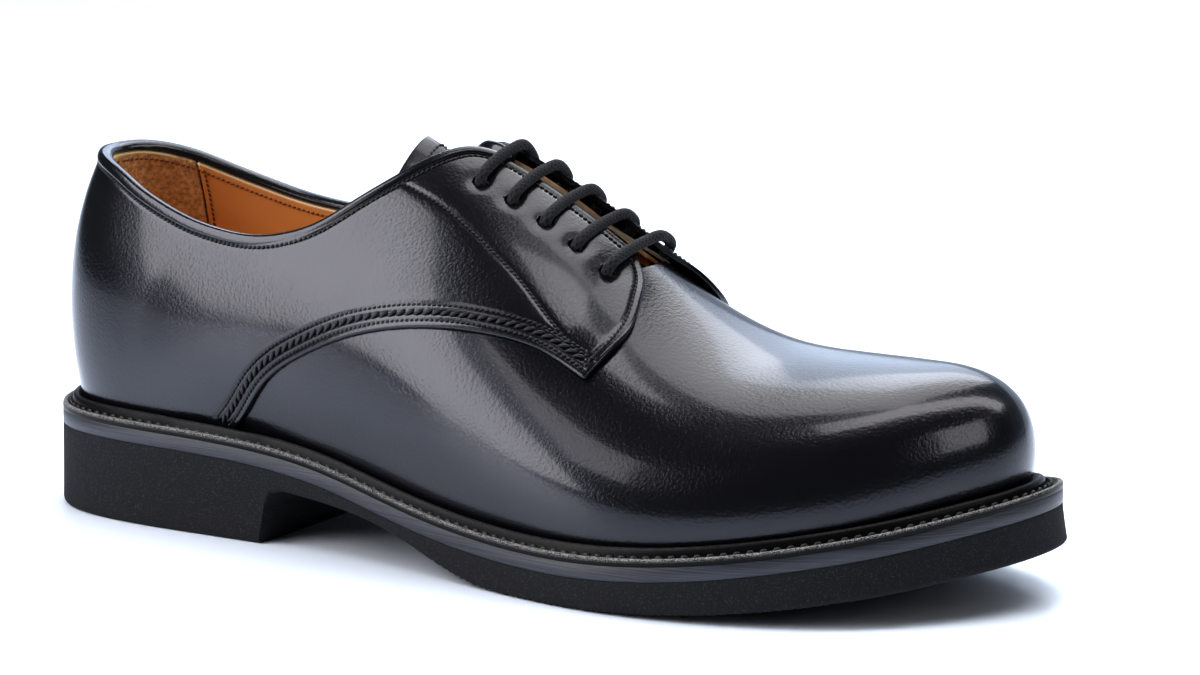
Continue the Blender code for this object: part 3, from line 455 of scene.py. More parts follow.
def joined_numbers(points):
    """For each point the number of the first point that coincides with it."""
    keys = np.round(points / WELD).astype(np.int64)
    _, first, index = np.unique(keys, axis=0, return_index=True, return_inverse=True)
    return first[index.reshape(-1)]


def clean_faces(faces):
    """Quads with repeated corners turned into triangles, and those with fewer corners dropped."""
    kept = []
    for face in faces:
        corners = [v for i, v in enumerate(face) if v != face[i - 1]]
        if len(corners) >= 3:
            kept.append(corners)
    return kept


def rim_of(faces):
    """The directed edges that only one face uses."""
    seen = {}
    for face in faces:
        for i, v in enumerate(face):
            edge = (face[i - 1], v)
            if (edge[1], edge[0]) in seen:
                del seen[(edge[1], edge[0])]
            else:
                seen[edge] = True
    return list(seen)


RIM_STEPS = 3


def sheet_piece(name, outer, inner, material, bulge=0.0):
    """A sheet between two lists of matching grids, closed along a rim that is rounded by bulge."""
    faces = []
    start = 0
    for grid in outer:
        faces.append(quads(start + np.arange(grid.shape[0] * grid.shape[1]).reshape(grid.shape[:2])))
        start += grid.shape[0] * grid.shape[1]
    outside = np.concatenate([grid.reshape(-1, 3) for grid in outer])
    inside = np.concatenate([grid.reshape(-1, 3) for grid in inner])
    first = joined_numbers(outside)
    skin = clean_faces(first[np.concatenate(faces)].tolist())
    rim = rim_of(skin)
    outward = {}
    for a, b in rim:
        thickness = outside[a] - inside[a]
        away = np.cross(outside[b] - outside[a], thickness)
        size = np.linalg.norm(away)
        if size > 0:
            for v in (a, b):
                outward[v] = outward.get(v, 0) + away / size
    points = [outside, inside]
    numbers = {}
    count = 2 * start
    for k in range(1, RIM_STEPS):
        share = k / RIM_STEPS
        ring = []
        for v, away in outward.items():
            size = np.linalg.norm(away)
            lean = away / size if size > 0 else away
            between = outside[v] * (1 - share) + inside[v] * share
            ring.append(between + lean * bulge * math.sin(math.pi * share))
            numbers[(v, k)] = count
            count += 1
        points.append(np.array(ring))
    every = skin + [[v + start for v in face[::-1]] for face in skin]
    for a, b in rim:
        lower_a = [a] + [numbers[(a, k)] for k in range(1, RIM_STEPS)] + [a + start]
        lower_b = [b] + [numbers[(b, k)] for k in range(1, RIM_STEPS)] + [b + start]
        for k in range(RIM_STEPS):
            every.append([lower_b[k], lower_a[k], lower_a[k + 1], lower_b[k + 1]])
    used, where = np.unique(np.concatenate([np.array(f) for f in every]), return_inverse=True)
    cuts = np.cumsum([len(f) for f in every])[:-1]
    every = np.split(where.reshape(-1), cuts)
    return mesh_piece(name, np.concatenate(points)[used], every, material)


def tube_numbers(rows, sides, closed):
    numbers = np.arange(rows * sides).reshape(rows, sides)
    numbers = np.concatenate([numbers, numbers[:, :1]], 1)
    return np.concatenate([numbers, numbers[:1]]) if closed else numbers


def sweep_piece(name, rings, material, closed):
    """A bar through rings of points, closed into a loop or with an end face at each end."""
    rows, sides = rings.shape[:2]
    faces = quads(tube_numbers(rows, sides, closed)).tolist()
    if not closed:
        faces.append(list(range(sides))[::-1])
        faces.append(list(range((rows - 1) * sides, rows * sides)))
    return mesh_piece(name, rings.reshape(-1, 3), faces, material)


def set_value(piece, name, values):
    """Stores one number for each point, which a material reads as an attribute."""
    attribute = piece.data.attributes.new(name, "FLOAT", "POINT")
    attribute.data.foreach_set("value", np.asarray(values, np.float32))


def points_of(piece):
    points = np.empty(len(piece.data.vertices) * 3, np.float32)
    piece.data.vertices.foreach_get("co", points)
    return points.reshape(-1, 3).astype(float)


def nearness(points, line, reach):
    """1 on the line, falling to 0 at about twice the reach from it."""
    tree = KDTree(len(line))
    for i, p in enumerate(line):
        tree.insert(Vector(p), i)
    tree.balance()
    flat = points.reshape(-1, 3)
    distance = np.array([tree.find(Vector(p))[2] for p in flat]).reshape(points.shape[:-1])
    return np.exp(-(distance / reach) ** 2)


def even_points(points, step):
    """The same line with evenly spaced points."""
    length = lengths_along(points)
    count = max(int(round(length[-1] / step)), 2)
    return read_along(np.linspace(0, length[-1], count + 1), length, points)


# ---------------------------------------------------------------- sewing

STITCH_RINGS = 5
STITCH_SIDES = 6
STITCH_LOOK = .0003                      # how far ahead and behind a stitch its line's direction is read


def stitches(lines, spec):
    """Points and faces of separate stitches along lines of (points, normals).

    spec is pitch, stitch length, thread radius, slant in degrees and how far the ends dive under the face.
    """
    pitch, length, radius, slant, dive = spec
    swing = np.radians(slant)
    all_points = []
    all_faces = []
    start = 0
    along = np.linspace(-1, 1, STITCH_RINGS)
    turn = np.arange(STITCH_SIDES) / STITCH_SIDES * 2 * np.pi
    for points, normals in lines:
        reach = lengths_along(points)
        count = max(int(reach[-1] / pitch), 1)
        at = (np.arange(count) + .5) * reach[-1] / count
        middle = read_along(at, reach, points)
        normal = unit(read_along(at, reach, normals))
        ahead = read_along(at + STITCH_LOOK, reach, points)
        tangent = unit(ahead - read_along(at - STITCH_LOOK, reach, points))
        side = unit(np.cross(normal, tangent))
        run = tangent * np.cos(swing) + side * np.sin(swing)
        cross = np.cross(normal, run)
        for m, n, r, c in zip(middle, normal, run, cross):
            for t in along:
                centre = m + r * t * length / 2 - n * dive * t ** 4 + n * radius * .35
                size = radius * (1 - .45 * t ** 4)
                for a in turn:
                    all_points.append(centre + (c * np.cos(a) + n * np.sin(a)) * size)
            numbers = tube_numbers(STITCH_RINGS, STITCH_SIDES, False) + start
            all_faces += quads(numbers).tolist()
            all_faces.append(numbers[0, :-1][::-1].tolist())
            all_faces.append(numbers[-1, :-1].tolist())
            start += STITCH_RINGS * STITCH_SIDES
    return all_points, all_faces


def sewing_piece(name, rows, material):
    """One piece with every row of stitches of a panel. rows are (lines, spec)."""
    points = []
    faces = []
    for lines, spec in rows:
        more_points, more_faces = stitches(lines, spec)
        faces += [[v + len(points) for v in face] for face in more_faces]
        points += more_points
    return mesh_piece(name, points, faces, material)


def surface_line(side, station, rise, lift):
    """Points and normals of a line on the upper."""
    station = np.asarray(station, float)
    rise = np.asarray(rise, float)
    points = surface(side, station, rise, lift)
    return points, unit(surface(side, station, rise, lift + MM) - points)


# ---------------------------------------------------------------- the upper

QUARTER_COLUMNS = REAR_STATIONS + SIDE_STATIONS[1:]
ROW_PITCH = 1.55 * MM
FINE_ROW = (ROW_PITCH, 1.50 * MM, .34 * MM, 16, .45 * MM)
CABLE_ROW = (2.7 * MM, 3.7 * MM, .50 * MM, 30, .55 * MM)
EDGE_INSETS = (1.5 * MM, 3.7 * MM, 5.8 * MM)      # lower row, cable row and upper row of the quarter's seam
TOP_INSET = 2.05 * MM
FRONT_INSET = 2.0 * MM
FINE_GROOVE = (.26 * MM, .60 * MM)       # how deep and how wide a row of sewing pulls the leather in
CABLE_GROOVE = (.42 * MM, .95 * MM)
QUARTER_THICKNESS = 1.45 * MM
TAB_STAND = .7 * MM
MEDIAL_STAND = 1.6 * MM
FACING_ROLL = .30 * MM
EYELET_DENT = .55 * MM
EYELET_DENT_REACH = 3.4 * MM
SEWING_SINK = .16 * MM
EYELET_LINE = [(.400, .664), (.438, .659), (.481, .638), (.522, .616), (.550, .588), (.567, .571)]
TAB_LINE = [(.567, .571), (.578, .560), (.590, .556), (.600, .558)]


def seam_line():
    """The quarter's lower edge, from the welt to the front corner of its tab."""
    station = np.linspace(SEAM_START + .002, .597, 240)
    return station, seam(station)


def top_line():
    """The quarter's upper edge, from the heel to the front corner of its facing."""
    station, rise = quarter_grid(stretch(QUARTER_COLUMNS, 300), seam, QUARTER_FRONT, np.array([1.0]))
    return station[:, 0], rise[:, 0]


def front_line():
    """The free front edge of the tab, from its lower corner to the facing."""
    share = np.linspace(0, .97, 60)
    station = table_curve(QUARTER_FRONT, share)
    return station, seam(station) + share * (collar(station) - seam(station))


def smooth_line(places, count):
    places = np.array(places, float)
    keys = lengths_along(places)
    found = smooth_curve(keys, places, np.linspace(0, keys[-1], count))
    return found[:, 0], found[:, 1]


def quarter_rows(side):
    """Every stitched line of a quarter as (station, rise, thread spec)."""
    rows = []
    station, rise = seam_line()
    for inset, spec in zip(EDGE_INSETS, (FINE_ROW, CABLE_ROW, FINE_ROW)):
        s, v = moved_in(side, station, rise, inset, 1)
        inside = (v > .012) & (s < .598 - .0012 * inset / MM)
        rows.append((s[inside], v[inside], spec))
    station, rise = top_line()
    s, v = moved_in(side, station, rise, TOP_INSET, -1)
    keep = (s > .002) & (s < .574)
    rows.append((s[keep], v[keep], FINE_ROW))
    station, rise = front_line()
    s, v = moved_in(side, station, rise, FRONT_INSET, 1)
    keep = np.arange(len(s)) > 2
    rows.append((s[keep], v[keep], FINE_ROW))
    for places in (EYELET_LINE, TAB_LINE):
        s, v = smooth_line(places, 120)
        rows.append((s, v, FINE_ROW))
    return rows


def tab_lift(station, rise):
    """The free tab stands slightly off the vamp towards its front edge."""
    return TAB_STAND * ease(.570, .606, station) * (1 - ease(.80, .95, rise))


def stand(side, station, rise):
    """The medial facing, pulled by the lace, stands a little prouder than the lateral one."""
    if side == LATERAL:
        return 0 * station
    return MEDIAL_STAND * ease(.66, .90, rise) * ease(.40, .45, station)


def quarter_face(side, station, rise):
    """How far the quarter's outer face stands from the last, without its sewn grooves."""
    edge = np.minimum(table_curve(VAMP_BACK, station), .60)
    over_wing = 1 - ease(edge - .10, edge + .42, rise)
    cover = 1 - (1 - over_wing) * (1 - ease(.47, .570, station))
    raised = .85 * (LAP - TIP_SINK * sink(station, rise)) * cover
    return raised + tab_lift(station, rise) + stand(side, station, rise)


def eyelet_dents(points, side):
    """Leather pulled in around each punched eyelet."""
    dents = np.zeros(points.shape[:-1])
    for number in range(len(EYELETS)):
        centre = eyelet_frame(side, number)[0]
        distance = np.linalg.norm(points - centre, axis=-1)
        dents += EYELET_DENT * np.exp(-(distance / EYELET_DENT_REACH) ** 2)
    return dents


def quarter_piece(word, side, leather):
    share = np.linspace(0, 1, 120)
    share = .5 * share + .5 * (.5 - .5 * np.cos(np.pi * share))
    station, rise = quarter_grid(stretch(QUARTER_COLUMNS, 340), seam, QUARTER_FRONT, share)
    face = quarter_face(side, station, rise)
    plain = place(side, station, rise, face)
    grooves = np.zeros(station.shape)
    for s, v, spec in quarter_rows(side):
        line = surface(side, s, v, quarter_face(side, s, v))
        deep, wide = FINE_GROOVE if spec is FINE_ROW else CABLE_GROOVE
        grooves = np.maximum(grooves, deep * nearness(plain, even_points(line, .4 * MM), wide))
    s, v = top_line()
    edge = surface(side, s, v, quarter_face(side, s, v))[s > .44]
    roll = FACING_ROLL * nearness(plain, even_points(edge, .4 * MM), 1.5 * MM)
    face = face - grooves + roll - eyelet_dents(plain, side) + waves(plain)
    outer = place(side, station, rise, face)
    inner = place(side, station, rise, face - QUARTER_THICKNESS)
    piece = sheet_piece(f"quarter_{word}_leather", [outer], [inner], leather, bulge=.5 * MM)
    punch(piece, side)
    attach(piece, "shoe")
    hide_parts(f"quarter_{word}")


def punch(piece, side):
    """Cuts the eyelets through a piece."""
    shape = bmesh.new()
    for number in range(len(EYELETS)):
        centre, normal, inward, _ = eyelet_frame(side, number)
        peg = bmesh.ops.create_cone(shape, cap_ends=True, segments=28, radius1=EYELET_RADIUS,
                                    radius2=EYELET_RADIUS, depth=9 * MM)
        turn = np.stack([inward, np.cross(normal, inward), normal], 1)
        for vertex in peg["verts"]:
            vertex.co = turn @ np.array(vertex.co) + centre - normal * 2 * MM
    bmesh.ops.recalc_face_normals(shape, faces=shape.faces)
    mesh = bpy.data.meshes.new("cutter")
    shape.to_mesh(mesh)
    shape.free()
    cutter = add_object("cutter", mesh)
    cut = piece.modifiers.new("cut", "BOOLEAN")
    cut.operation = "DIFFERENCE"
    cut.solver = "EXACT"
    cut.object = cutter
    bpy.context.view_layer.update()
    graph = bpy.context.evaluated_depsgraph_get()
    done = bpy.data.meshes.new_from_object(piece.evaluated_get(graph))
    piece.modifiers.clear()
    piece.data = done
    bpy.data.objects.remove(cutter, do_unlink=True)


def quarter_sewing(word, side, thread):
    rows = []
    for s, v, spec in quarter_rows(side):
        rows.append(([surface_line(side, s, v, quarter_face(side, s, v) - SEWING_SINK)], spec))
    piece = sewing_piece(f"quarter_{word}_sewing", rows, thread)
    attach(piece, "shoe")


def lining_piece(word, side, leather):
    columns = stretch([.127] + [s for s in REAR_STATIONS if s > .13] + SIDE_STATIONS[1:], 200)
    share = np.linspace(0, 1, 70)
    station, rise = quarter_grid(columns, lambda s: 0 * s, LINING_FRONT, share)
    proud = stand(side, station, rise)
    outer = place(side, station, rise, LINING[1] + proud)
    inner = place(side, station, rise, LINING[0] + proud)
    piece = sheet_piece(f"lining_{word}_leather", [outer], [inner], leather, bulge=.2 * MM)
    punch(piece, side)
    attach(piece, "shoe")
    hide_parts(f"quarter_lining_{word}")
    s, v = top_line()
    keep = s > .127
    edge = surface(side, s[keep], v[keep], LINING[0] + stand(side, s[keep], v[keep]))
    set_value(piece, "raw_edge", nearness(points_of(piece), even_points(edge, .5 * MM), 1.0 * MM))


def lining_sewing(thread):
    """The row below the collar's inner edge, and the upright seam in front of the heel grip."""
    rows = []
    for side in (LATERAL, MEDIAL):
        station, rise = top_line()
        s, v = moved_in(side, station, rise, 2.6 * MM, -1)
        keep = (s > .004) & (s < .40)
        points, normals = surface_line(side, s[keep], v[keep], LINING[0])
        rows.append(([(points, -normals)], FINE_ROW))
        v = np.linspace(.1, float(collar(np.array(.13))) - .02, 80)
        points, normals = surface_line(side, np.full(80, .1325), v, LINING[0])
        rows.append(([(points, -normals)], FINE_ROW))
    piece = sewing_piece("lining_sewing", rows, thread)
    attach(piece, "shoe")


def both_sides(station, rise, offset, lowest=True):
    maker = place if lowest else surface
    lateral = maker(LATERAL, station, rise, offset)
    medial = maker(MEDIAL, station, rise, offset)
    if station[-1, 0] == 1:
        medial[-1] = lateral[-1]
    return np.concatenate([lateral, medial[:, -2::-1]], 1)


def front_grid(stations, rows):
    share = np.linspace(0, 1, rows + 1)
    station = np.repeat(np.asarray(stations, float)[:, None], rows + 1, 1)
    return station, np.repeat(share[None, :], len(stations), 0)


def across_the_ball(piece, *nodes):
    """A piece that lies across the ball, where the forepart flexes, with its transform baked; it stands for
    the CAD nodes, which are hidden.
    """
    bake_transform(piece)
    if nodes:
        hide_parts(*nodes)


def wavy(side, station, rise, offset):
    plain = place(side, station, rise, offset)
    return place(side, station, rise, offset + waves(plain))


def vamp_piece(leather):
    rows = 64
    station, rise = front_grid(stretch(FRONT_STATIONS, 190), rows)
    plain = both_sides(station, rise, UPPER[1])
    bumps = waves(plain) * (1 - .6 * ease(.8, 1, station[:, :1]))
    half = station.shape[1]
    lateral = place(LATERAL, station, rise, UPPER[1] + bumps[:, :half])
    medial = place(MEDIAL, station, rise, UPPER[1] + bumps[:, ::-1][:, :half])
    medial[-1] = lateral[-1]
    medial[:, -1] = lateral[:, -1]
    outer = [np.concatenate([lateral, medial[:, -2::-1]], 1)]
    inner = [both_sides(station, rise, UPPER[0])]
    columns = stretch([VAMP_TIP] + SIDE_STATIONS[:-2] + [.565, .572, .578, THROAT], 170)
    station = np.repeat(columns[:, None], rows + 1, 1)
    rise = np.linspace(0, 1, rows + 1) * table_curve(VAMP_BACK, station)
    thinned = TIP_SINK * sink(station, rise)
    for side, front in ((LATERAL, lateral), (MEDIAL, medial)):
        wing = wavy(side, station, rise, UPPER[1] - thinned)
        wing[-1] = front[0]
        outer.append(wing[:, ::-side])
        flesh = place(side, station, rise, UPPER[0] - thinned)
        flesh[-1] = inner[0][0, ::-side][:rows + 1]
        inner.append(flesh[:, ::-side])
    piece = sheet_piece("vamp_leather", outer, inner, leather, bulge=.3 * MM)
    across_the_ball(piece, "vamp")


def vamp_lining_piece(leather):
    station, rise = front_grid(stretch([s for s in FRONT_STATIONS if s > .62], 90), 30)
    piece = sheet_piece("vamp_lining_leather", [both_sides(station, rise, LINING[1])],
                        [both_sides(station, rise, LINING[0])], leather)
    across_the_ball(piece, "vamp_lining")


def heel_sheet(name, node, reach, low, high, layer, material, bulge):
    """A piece that wraps the heel, between two shares of the collar's height."""
    columns = stretch([0.0] + [s for s in REAR_STATIONS[1:] if s <= reach], 90)
    share = low + np.linspace(0, 1, 70) * (high - low)
    station = np.repeat(columns[:, None], len(share), 1)
    rise = share[None, :] * collar(station)
    grids = []
    for offset in (layer[1], layer[0]):
        lateral = place(LATERAL, station, rise, offset)
        medial = place(MEDIAL, station, rise, offset)
        grids.append(np.concatenate([lateral[::-1], medial[1:]]))
    piece = sheet_piece(name, [grids[0]], [grids[1]], material, bulge=bulge)
    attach(piece, "shoe")
    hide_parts(node)
    return piece


def heel_grip_piece(suede):
    piece = heel_sheet("heel_grip_suede", "heel_grip", .126, 0, 1, LINING, suede, .2 * MM)
    columns = stretch([0.0] + REAR_STATIONS[1:6], 120)
    edge = np.concatenate([surface(side, columns, collar(columns), LINING[0]) for side in (LATERAL, MEDIAL)])
    set_value(piece, "raw_edge", nearness(points_of(piece), edge, 1.0 * MM))


def back_strip_piece(leather, thread):
    layer = (.1 * MM, 1.1 * MM)
    heel_sheet("back_strip_leather", "heel_back_strip", .014, .42, 1.0, layer, leather, .3 * MM)
    rows = []
    for side in (LATERAL, MEDIAL):
        v = np.linspace(.45, .97, 120)
        station = np.full(120, .0118)
        rows.append(([surface_line(side, station, v * collar(station), 1.02 * MM)], FINE_ROW))
    piece = sewing_piece("back_strip_sewing", rows, thread)
    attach(piece, "shoe")


def edge_frames(side, station, rise, direction):
    point = surface(side, station, rise)
    normal = unit(surface(side, station, rise, MM) - point)
    along = np.gradient(point, axis=0) * direction
    return point, normal, unit(np.cross(normal, along))


BINDING_PROFILE = [(.10, -1.35), (.60, -1.30), (.90, -.75), (1.0, .2), (.75, 1.1), (.05, 1.7), (-1.1, 1.95),
                   (-2.3, 1.8), (-3.15, 1.35), (-3.45, .75), (-3.2, .2), (-2.6, .1), (-1.5, .2), (-.1, .1)]


def binding_piece(leather):
    """The rolled band on the collar's edge, from the top of one facing round the heel to the other."""
    station = top_line()[0]
    station = np.concatenate([[0.0], station[(station > .002) & (station < .4555)]])
    lateral, medial = [edge_frames(side, station, collar(station), -side) for side in (LATERAL, MEDIAL)]
    point, normal, out = [np.concatenate([near[::-1], far[1:]]) for near, far in zip(lateral, medial)]
    closed = np.array(BINDING_PROFILE + BINDING_PROFILE[:1]) * MM
    keys = np.arange(len(closed))
    profile = smooth_curve(keys, closed[:-1], np.linspace(0, keys[-1], 43)[:-1], periodic=True)
    rings = np.stack([point + normal * a + out * b for a, b in profile], 1)
    piece = sweep_piece("binding_leather", rings, leather, closed=False)
    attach(piece, "shoe")
    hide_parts("topline_binding")


def tongue_lift(station):
    return table_curve(TONGUE_LIFT, station) * MM


def tongue_piece(name, node, drop, material):
    stations = stretch(TONGUE_STATIONS, 110)
    edge = table_curve(TONGUE_EDGE, stations)
    share = np.linspace(0, 1, 40)
    station = np.repeat(stations[:, None], len(share), 1)
    rise = edge[:, None] + share * (1 - edge[:, None])
    lift = tongue_lift(station) - drop
    outer = both_sides(station, rise, lift, lowest=False)
    inner = both_sides(station, rise, lift - TONGUE_THICKNESS, lowest=False)
    piece = sheet_piece(name, [outer], [inner], material, bulge=.45 * MM)
    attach(piece, "tongue")
    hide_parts(node)


def tongue_sewing(thread):
    station = np.full(90, .3975)
    rise = np.linspace(.66, .999, 90)
    lateral = surface_line(LATERAL, station, rise, tongue_lift(station))
    medial = surface_line(MEDIAL, station, rise, tongue_lift(station))
    line = [np.concatenate([near, far[::-1]]) for near, far in zip(lateral, medial)]
    piece = sewing_piece("tongue_sewing", [([line], FINE_ROW)], thread)
    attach(piece, "tongue")


# ---------------------------------------------------------------- eyelets and lace

def eyelet_frame(side, number):
    """Centre on the quarter's face, its normal, the way to the crest, and the height above the last."""
    station, rise = EYELETS[number]
    station = np.array([station])
    rise = np.array([rise])
    raised = LAP * lap(station, rise) + stand(side, station, rise)
    centre = surface(side, station, rise, raised)[0]
    normal = unit(surface(side, station, rise, raised + MM)[0] - centre)
    inward = surface(side, station, rise + .02, raised)[0] - centre
    inward = unit(inward - normal * np.dot(inward, normal))
    return centre, normal, inward, raised[0]


LACE_BEND = 1.80 * MM                    # radius of the lace's middle where it turns over an eyelet's edge
LACE_DEPTH = LINING[0] - LACE_RADIUS - 0.5 * MM     # the lace's middle where it runs below the facings
HEELWARD = (-.5, .866)                   # how the lace leaves its first and last eyelet, below the facing


def through_eyelet(side, number, turn=(1, 0)):
    """The lace's middle line from under a facing, through its eyelet, and over towards the crest.

    turn says which way the lace leaves below the facing: towards the crest and towards the heel.
    """
    centre, normal, inward, raised = eyelet_frame(side, number)
    heelward = np.cross(normal, inward) * -side
    away = inward * turn[0] + heelward * turn[1]
    depth = -LINING[0] + raised
    points = []
    for angle in (90, 45):
        swing = np.radians(angle)
        sideways = LACE_BEND * (1 - np.cos(swing))
        points.append(centre + away * sideways - normal * (depth + LACE_BEND * np.sin(swing)))
    points += [centre - normal * depth, centre]
    for angle in (45, 90):
        swing = np.radians(angle)
        sideways = LACE_BEND * (1 - np.cos(swing))
        points.append(centre + inward * sideways + normal * LACE_BEND * np.sin(swing))
    return points


def one_place(side, station, rise, lift):
    return surface(side, np.array([station]), np.array([rise]), lift)[0]


def over_the_gap(number):
    """The middle of a bar, between its two eyelets."""
    station = EYELETS[number][0]
    raised = LAP * float(lap(np.array(station), np.array(.9)))
    points = []
    for side, rise in ((LATERAL, .92), (LATERAL, 1), (MEDIAL, .92)):
        height = raised + PULLED_RADIUS + (0.5 if rise == 1 else 0.1) * MM + stand(side, station, rise)
        points.append(one_place(side, station, rise, height))
    return points


def under_the_facings(number):
    """The slanting run below the facings, from a lateral eyelet to the next medial one."""
    points = []
    for share, side, rise in ((.3, LATERAL, .90), (.5, LATERAL, 1), (.7, MEDIAL, .90)):
        station = EYELETS[number][0] + share * (EYELETS[number + 1][0] - EYELETS[number][0])
        points.append(one_place(side, station, rise, LACE_DEPTH))
    return points


def below_facing(side, places):
    """Points of a run that lies between the facing's lining and the tongue."""
    return [one_place(side, station, rise, LACE_DEPTH) for station, rise in places]


def lace_route():
    """From behind the medial facing's top to the front eyelet, up the bars, and behind the last one."""
    last = len(EYELETS) - 1
    route = below_facing(MEDIAL, MEDIAL_RUN)
    for number in range(len(EYELETS)):
        route += through_eyelet(MEDIAL, number, HEELWARD if number == 0 else (1, 0))
        route += over_the_gap(number)[::-1]
        route += through_eyelet(LATERAL, number, HEELWARD if number == last else (1, 0))[::-1]
        if number < last:
            route += under_the_facings(number)
    return route + below_facing(LATERAL, LATERAL_RUN)


def smooth_route(points, step):
    """Evenly spaced points of a smooth curve through the route's own points."""
    points = np.array(points, float)
    keys = np.concatenate([[0], np.cumsum(np.linalg.norm(np.diff(points, axis=0), axis=1) ** .5)])
    fine = smooth_curve(keys, points, np.linspace(0, keys[-1], 6000))
    return even_points(fine, step)


BRAID_STRANDS = 12
BRAID_PITCH = 1.7 * MM
LACE_SIDES = 32
BRAID_RELIEF = .07


def braided_tube(name, line, radius, material):
    """A round woven lace: two sets of strands that wind opposite ways, as low relief on the tube."""
    tangent = unit(np.gradient(line, axis=0))
    side = np.zeros_like(line)
    side[0] = unit(np.cross(tangent[0], [0.2, 0.3, 1]))
    for i in range(1, len(line)):
        carried = side[i - 1] - tangent[i] * (side[i - 1] @ tangent[i])
        side[i] = unit(carried)
    up = np.cross(tangent, side)
    length = lengths_along(line)
    turn = np.arange(LACE_SIDES) / LACE_SIDES * 2 * np.pi
    along = (2 * np.pi * length / BRAID_PITCH)[:, None]
    around = (turn * BRAID_STRANDS / 2)[None, :]
    weave = np.maximum(np.cos(along + around), np.cos(along - around))
    size = radius * (1 + BRAID_RELIEF * (weave - .5))
    rings = (line[:, None] + side[:, None] * (np.cos(turn)[None, :] * size)[..., None]
             + up[:, None] * (np.sin(turn)[None, :] * size)[..., None])
    piece = sweep_piece(name, rings, material, closed=False)
    # The weave's height is also read by the material, which paints shade into the gaps between strands.
    set_value(piece, "weave", weave.ravel())
    return piece


def held_lace_piece(cotton):
    line = smooth_route(lace_route(), .3 * MM)
    piece = braided_tube("lace_braid", line, PULLED_RADIUS, cotton)
    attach(piece, "shoe")
    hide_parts("lace")


def free_end_pieces(word, route, cotton, plastic):
    """A free end of the lace inside the shoe, with its aglet."""
    points = np.array(route) * MM
    line = smooth_route(points, .5 * MM)
    piece = braided_tube(f"lace_end_{word}_braid", line, LACE_RADIUS, cotton)
    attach(piece, "shoe")
    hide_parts(f"lace_end_{word}")
    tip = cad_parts[f"aglet_{word}"]
    paint_node(tip, plastic)


def paint_node(node, material):
    node.data.materials.clear()
    node.data.materials.append(material)


# ---------------------------------------------------------------- the bottom

EDGE_SHARES = cosine_steps(2001)


def underside(x):
    x = np.asarray(x) / MM
    breast = np.array(BREAST, float)
    heel = np.interp(x, breast[:, 0], breast[:, 1])
    waist = np.maximum(table_curve(WAIST, x), 0)
    spring = TOE_SPRING * np.clip((x - TREAD_FLAT_TO) / (LENGTH / MM / 2 - TREAD_FLAT_TO), 0, 1) ** 2
    return np.where(x < BREAST[-1][0], heel, np.where(x < WAIST[-1][0], waist, spring)) * MM


def matched_arcs(xs):
    """Arcs of the lateral and the medial edge at the same distances from the heel."""
    arcs = []
    for side in (LATERAL, MEDIAL):
        arc = raw_arc(side, EDGE_SHARES)
        x = np.maximum.accumulate(OUTLINE.at(arc)[:, 0]) + np.arange(len(arc)) * 1e-12
        arcs.append(np.interp(xs, x, arc))
    return arcs


SOLE_COLUMNS = 460


def sole_columns():
    """Distances from the shoe's middle where the outsole is divided, closer together at the breast."""
    low, high = OUTLINE.at(OUTLINE.heel)[0], OUTLINE.at(OUTLINE.toe)[0]
    xs = low + (high - low) * cosine_steps(SOLE_COLUMNS + 1)
    breast = np.linspace(BREAST[1][0] - .6, BREAST[-1][0] + .6, 15) * MM
    corners = [(x + d) * MM for x, _ in BREAST[1:] for d in (-.15, 0, .15)]
    extra = np.concatenate([breast, corners])
    apart = np.abs(xs[:, None] - extra).min(axis=1) > .3 * MM
    return np.unique(np.round(np.concatenate([xs[apart], extra]), 6))


def sole_profile(x):
    """Rows of (inset, height) at every x: down the wall, round the bottom edge and in over the tread."""
    top = welt_top(x) + SOLE_TOP
    bottom = underside(x)
    tall = top - bottom
    flare = (.35 + .95 * ease(.06, .14, x)) * MM * np.clip(tall / (10 * MM), 0, 1)
    tread = (x > -.004) & (x < .120)
    teeth = np.where(tread, .28 * MM * (np.sin(x / (.36 * MM)) > .2), 0)
    corner = np.minimum(1.4 * MM, .3 * tall)
    rows = [(0 * x + .9 * MM, top), (0 * x + .12 * MM, top - .03 * MM), (0 * x, top - .25 * MM)]
    for share in (.12, .25, .4, .55, .7, .82, .9):
        rows.append((-flare * share ** 1.3, top - share * (tall - corner)))
    for angle in (0, 22, 45, 68, 90):
        swing = math.radians(angle)
        inset = -flare + corner * (1 - math.cos(swing))
        rows.append((inset, bottom + corner * (1 - math.sin(swing)) + teeth))
    for inset in (2.2, 2.6, 6.0, 12.0):
        rows.append((0 * x + inset * MM, bottom + (teeth if inset < 2.4 else 0)))
    return rows


def outsole_piece(rubber):
    """Unit sole: flared walls with rounded bottom edges, a heel breast and a serrated tread edge."""
    xs = sole_columns()
    lateral, medial = matched_arcs(xs)
    loop = np.concatenate([lateral, medial[::-1][1:-1]])
    edge = OUTLINE.at(loop)
    outward = OUTLINE.outward(loop)
    rings = []
    for inset, z in sole_profile(edge[:, 0]):
        xy = edge - outward * inset[:, None]
        rings.append(np.concatenate([xy, z[:, None]], 1))
    rings = np.stack(rings)
    # The top and the tread are closed by strips between the lateral and the medial edge.
    total = len(loop)
    numbers = np.arange(rings.shape[0] * total).reshape(rings.shape[0], total)
    numbers = np.concatenate([numbers, numbers[:, :1]], 1)
    faces = quads(numbers).tolist()
    points = rings.reshape(-1, 3)
    for row in (rings.shape[0] - 1, 0):
        left = numbers[row, :len(xs)]
        right = np.concatenate([numbers[row, :1], numbers[row, len(xs):-1][::-1], left[-1:]])
        for i in range(len(xs) - 1):
            faces += clean_faces([[left[i], left[i + 1], right[i + 1], right[i]]])
    piece = mesh_piece("outsole_rubber", points, faces, rubber)
    piece.data.set_sharp_from_angle(angle=math.radians(50))
    across_the_ball(piece, "outsole")


LOOP_STEPS = 720


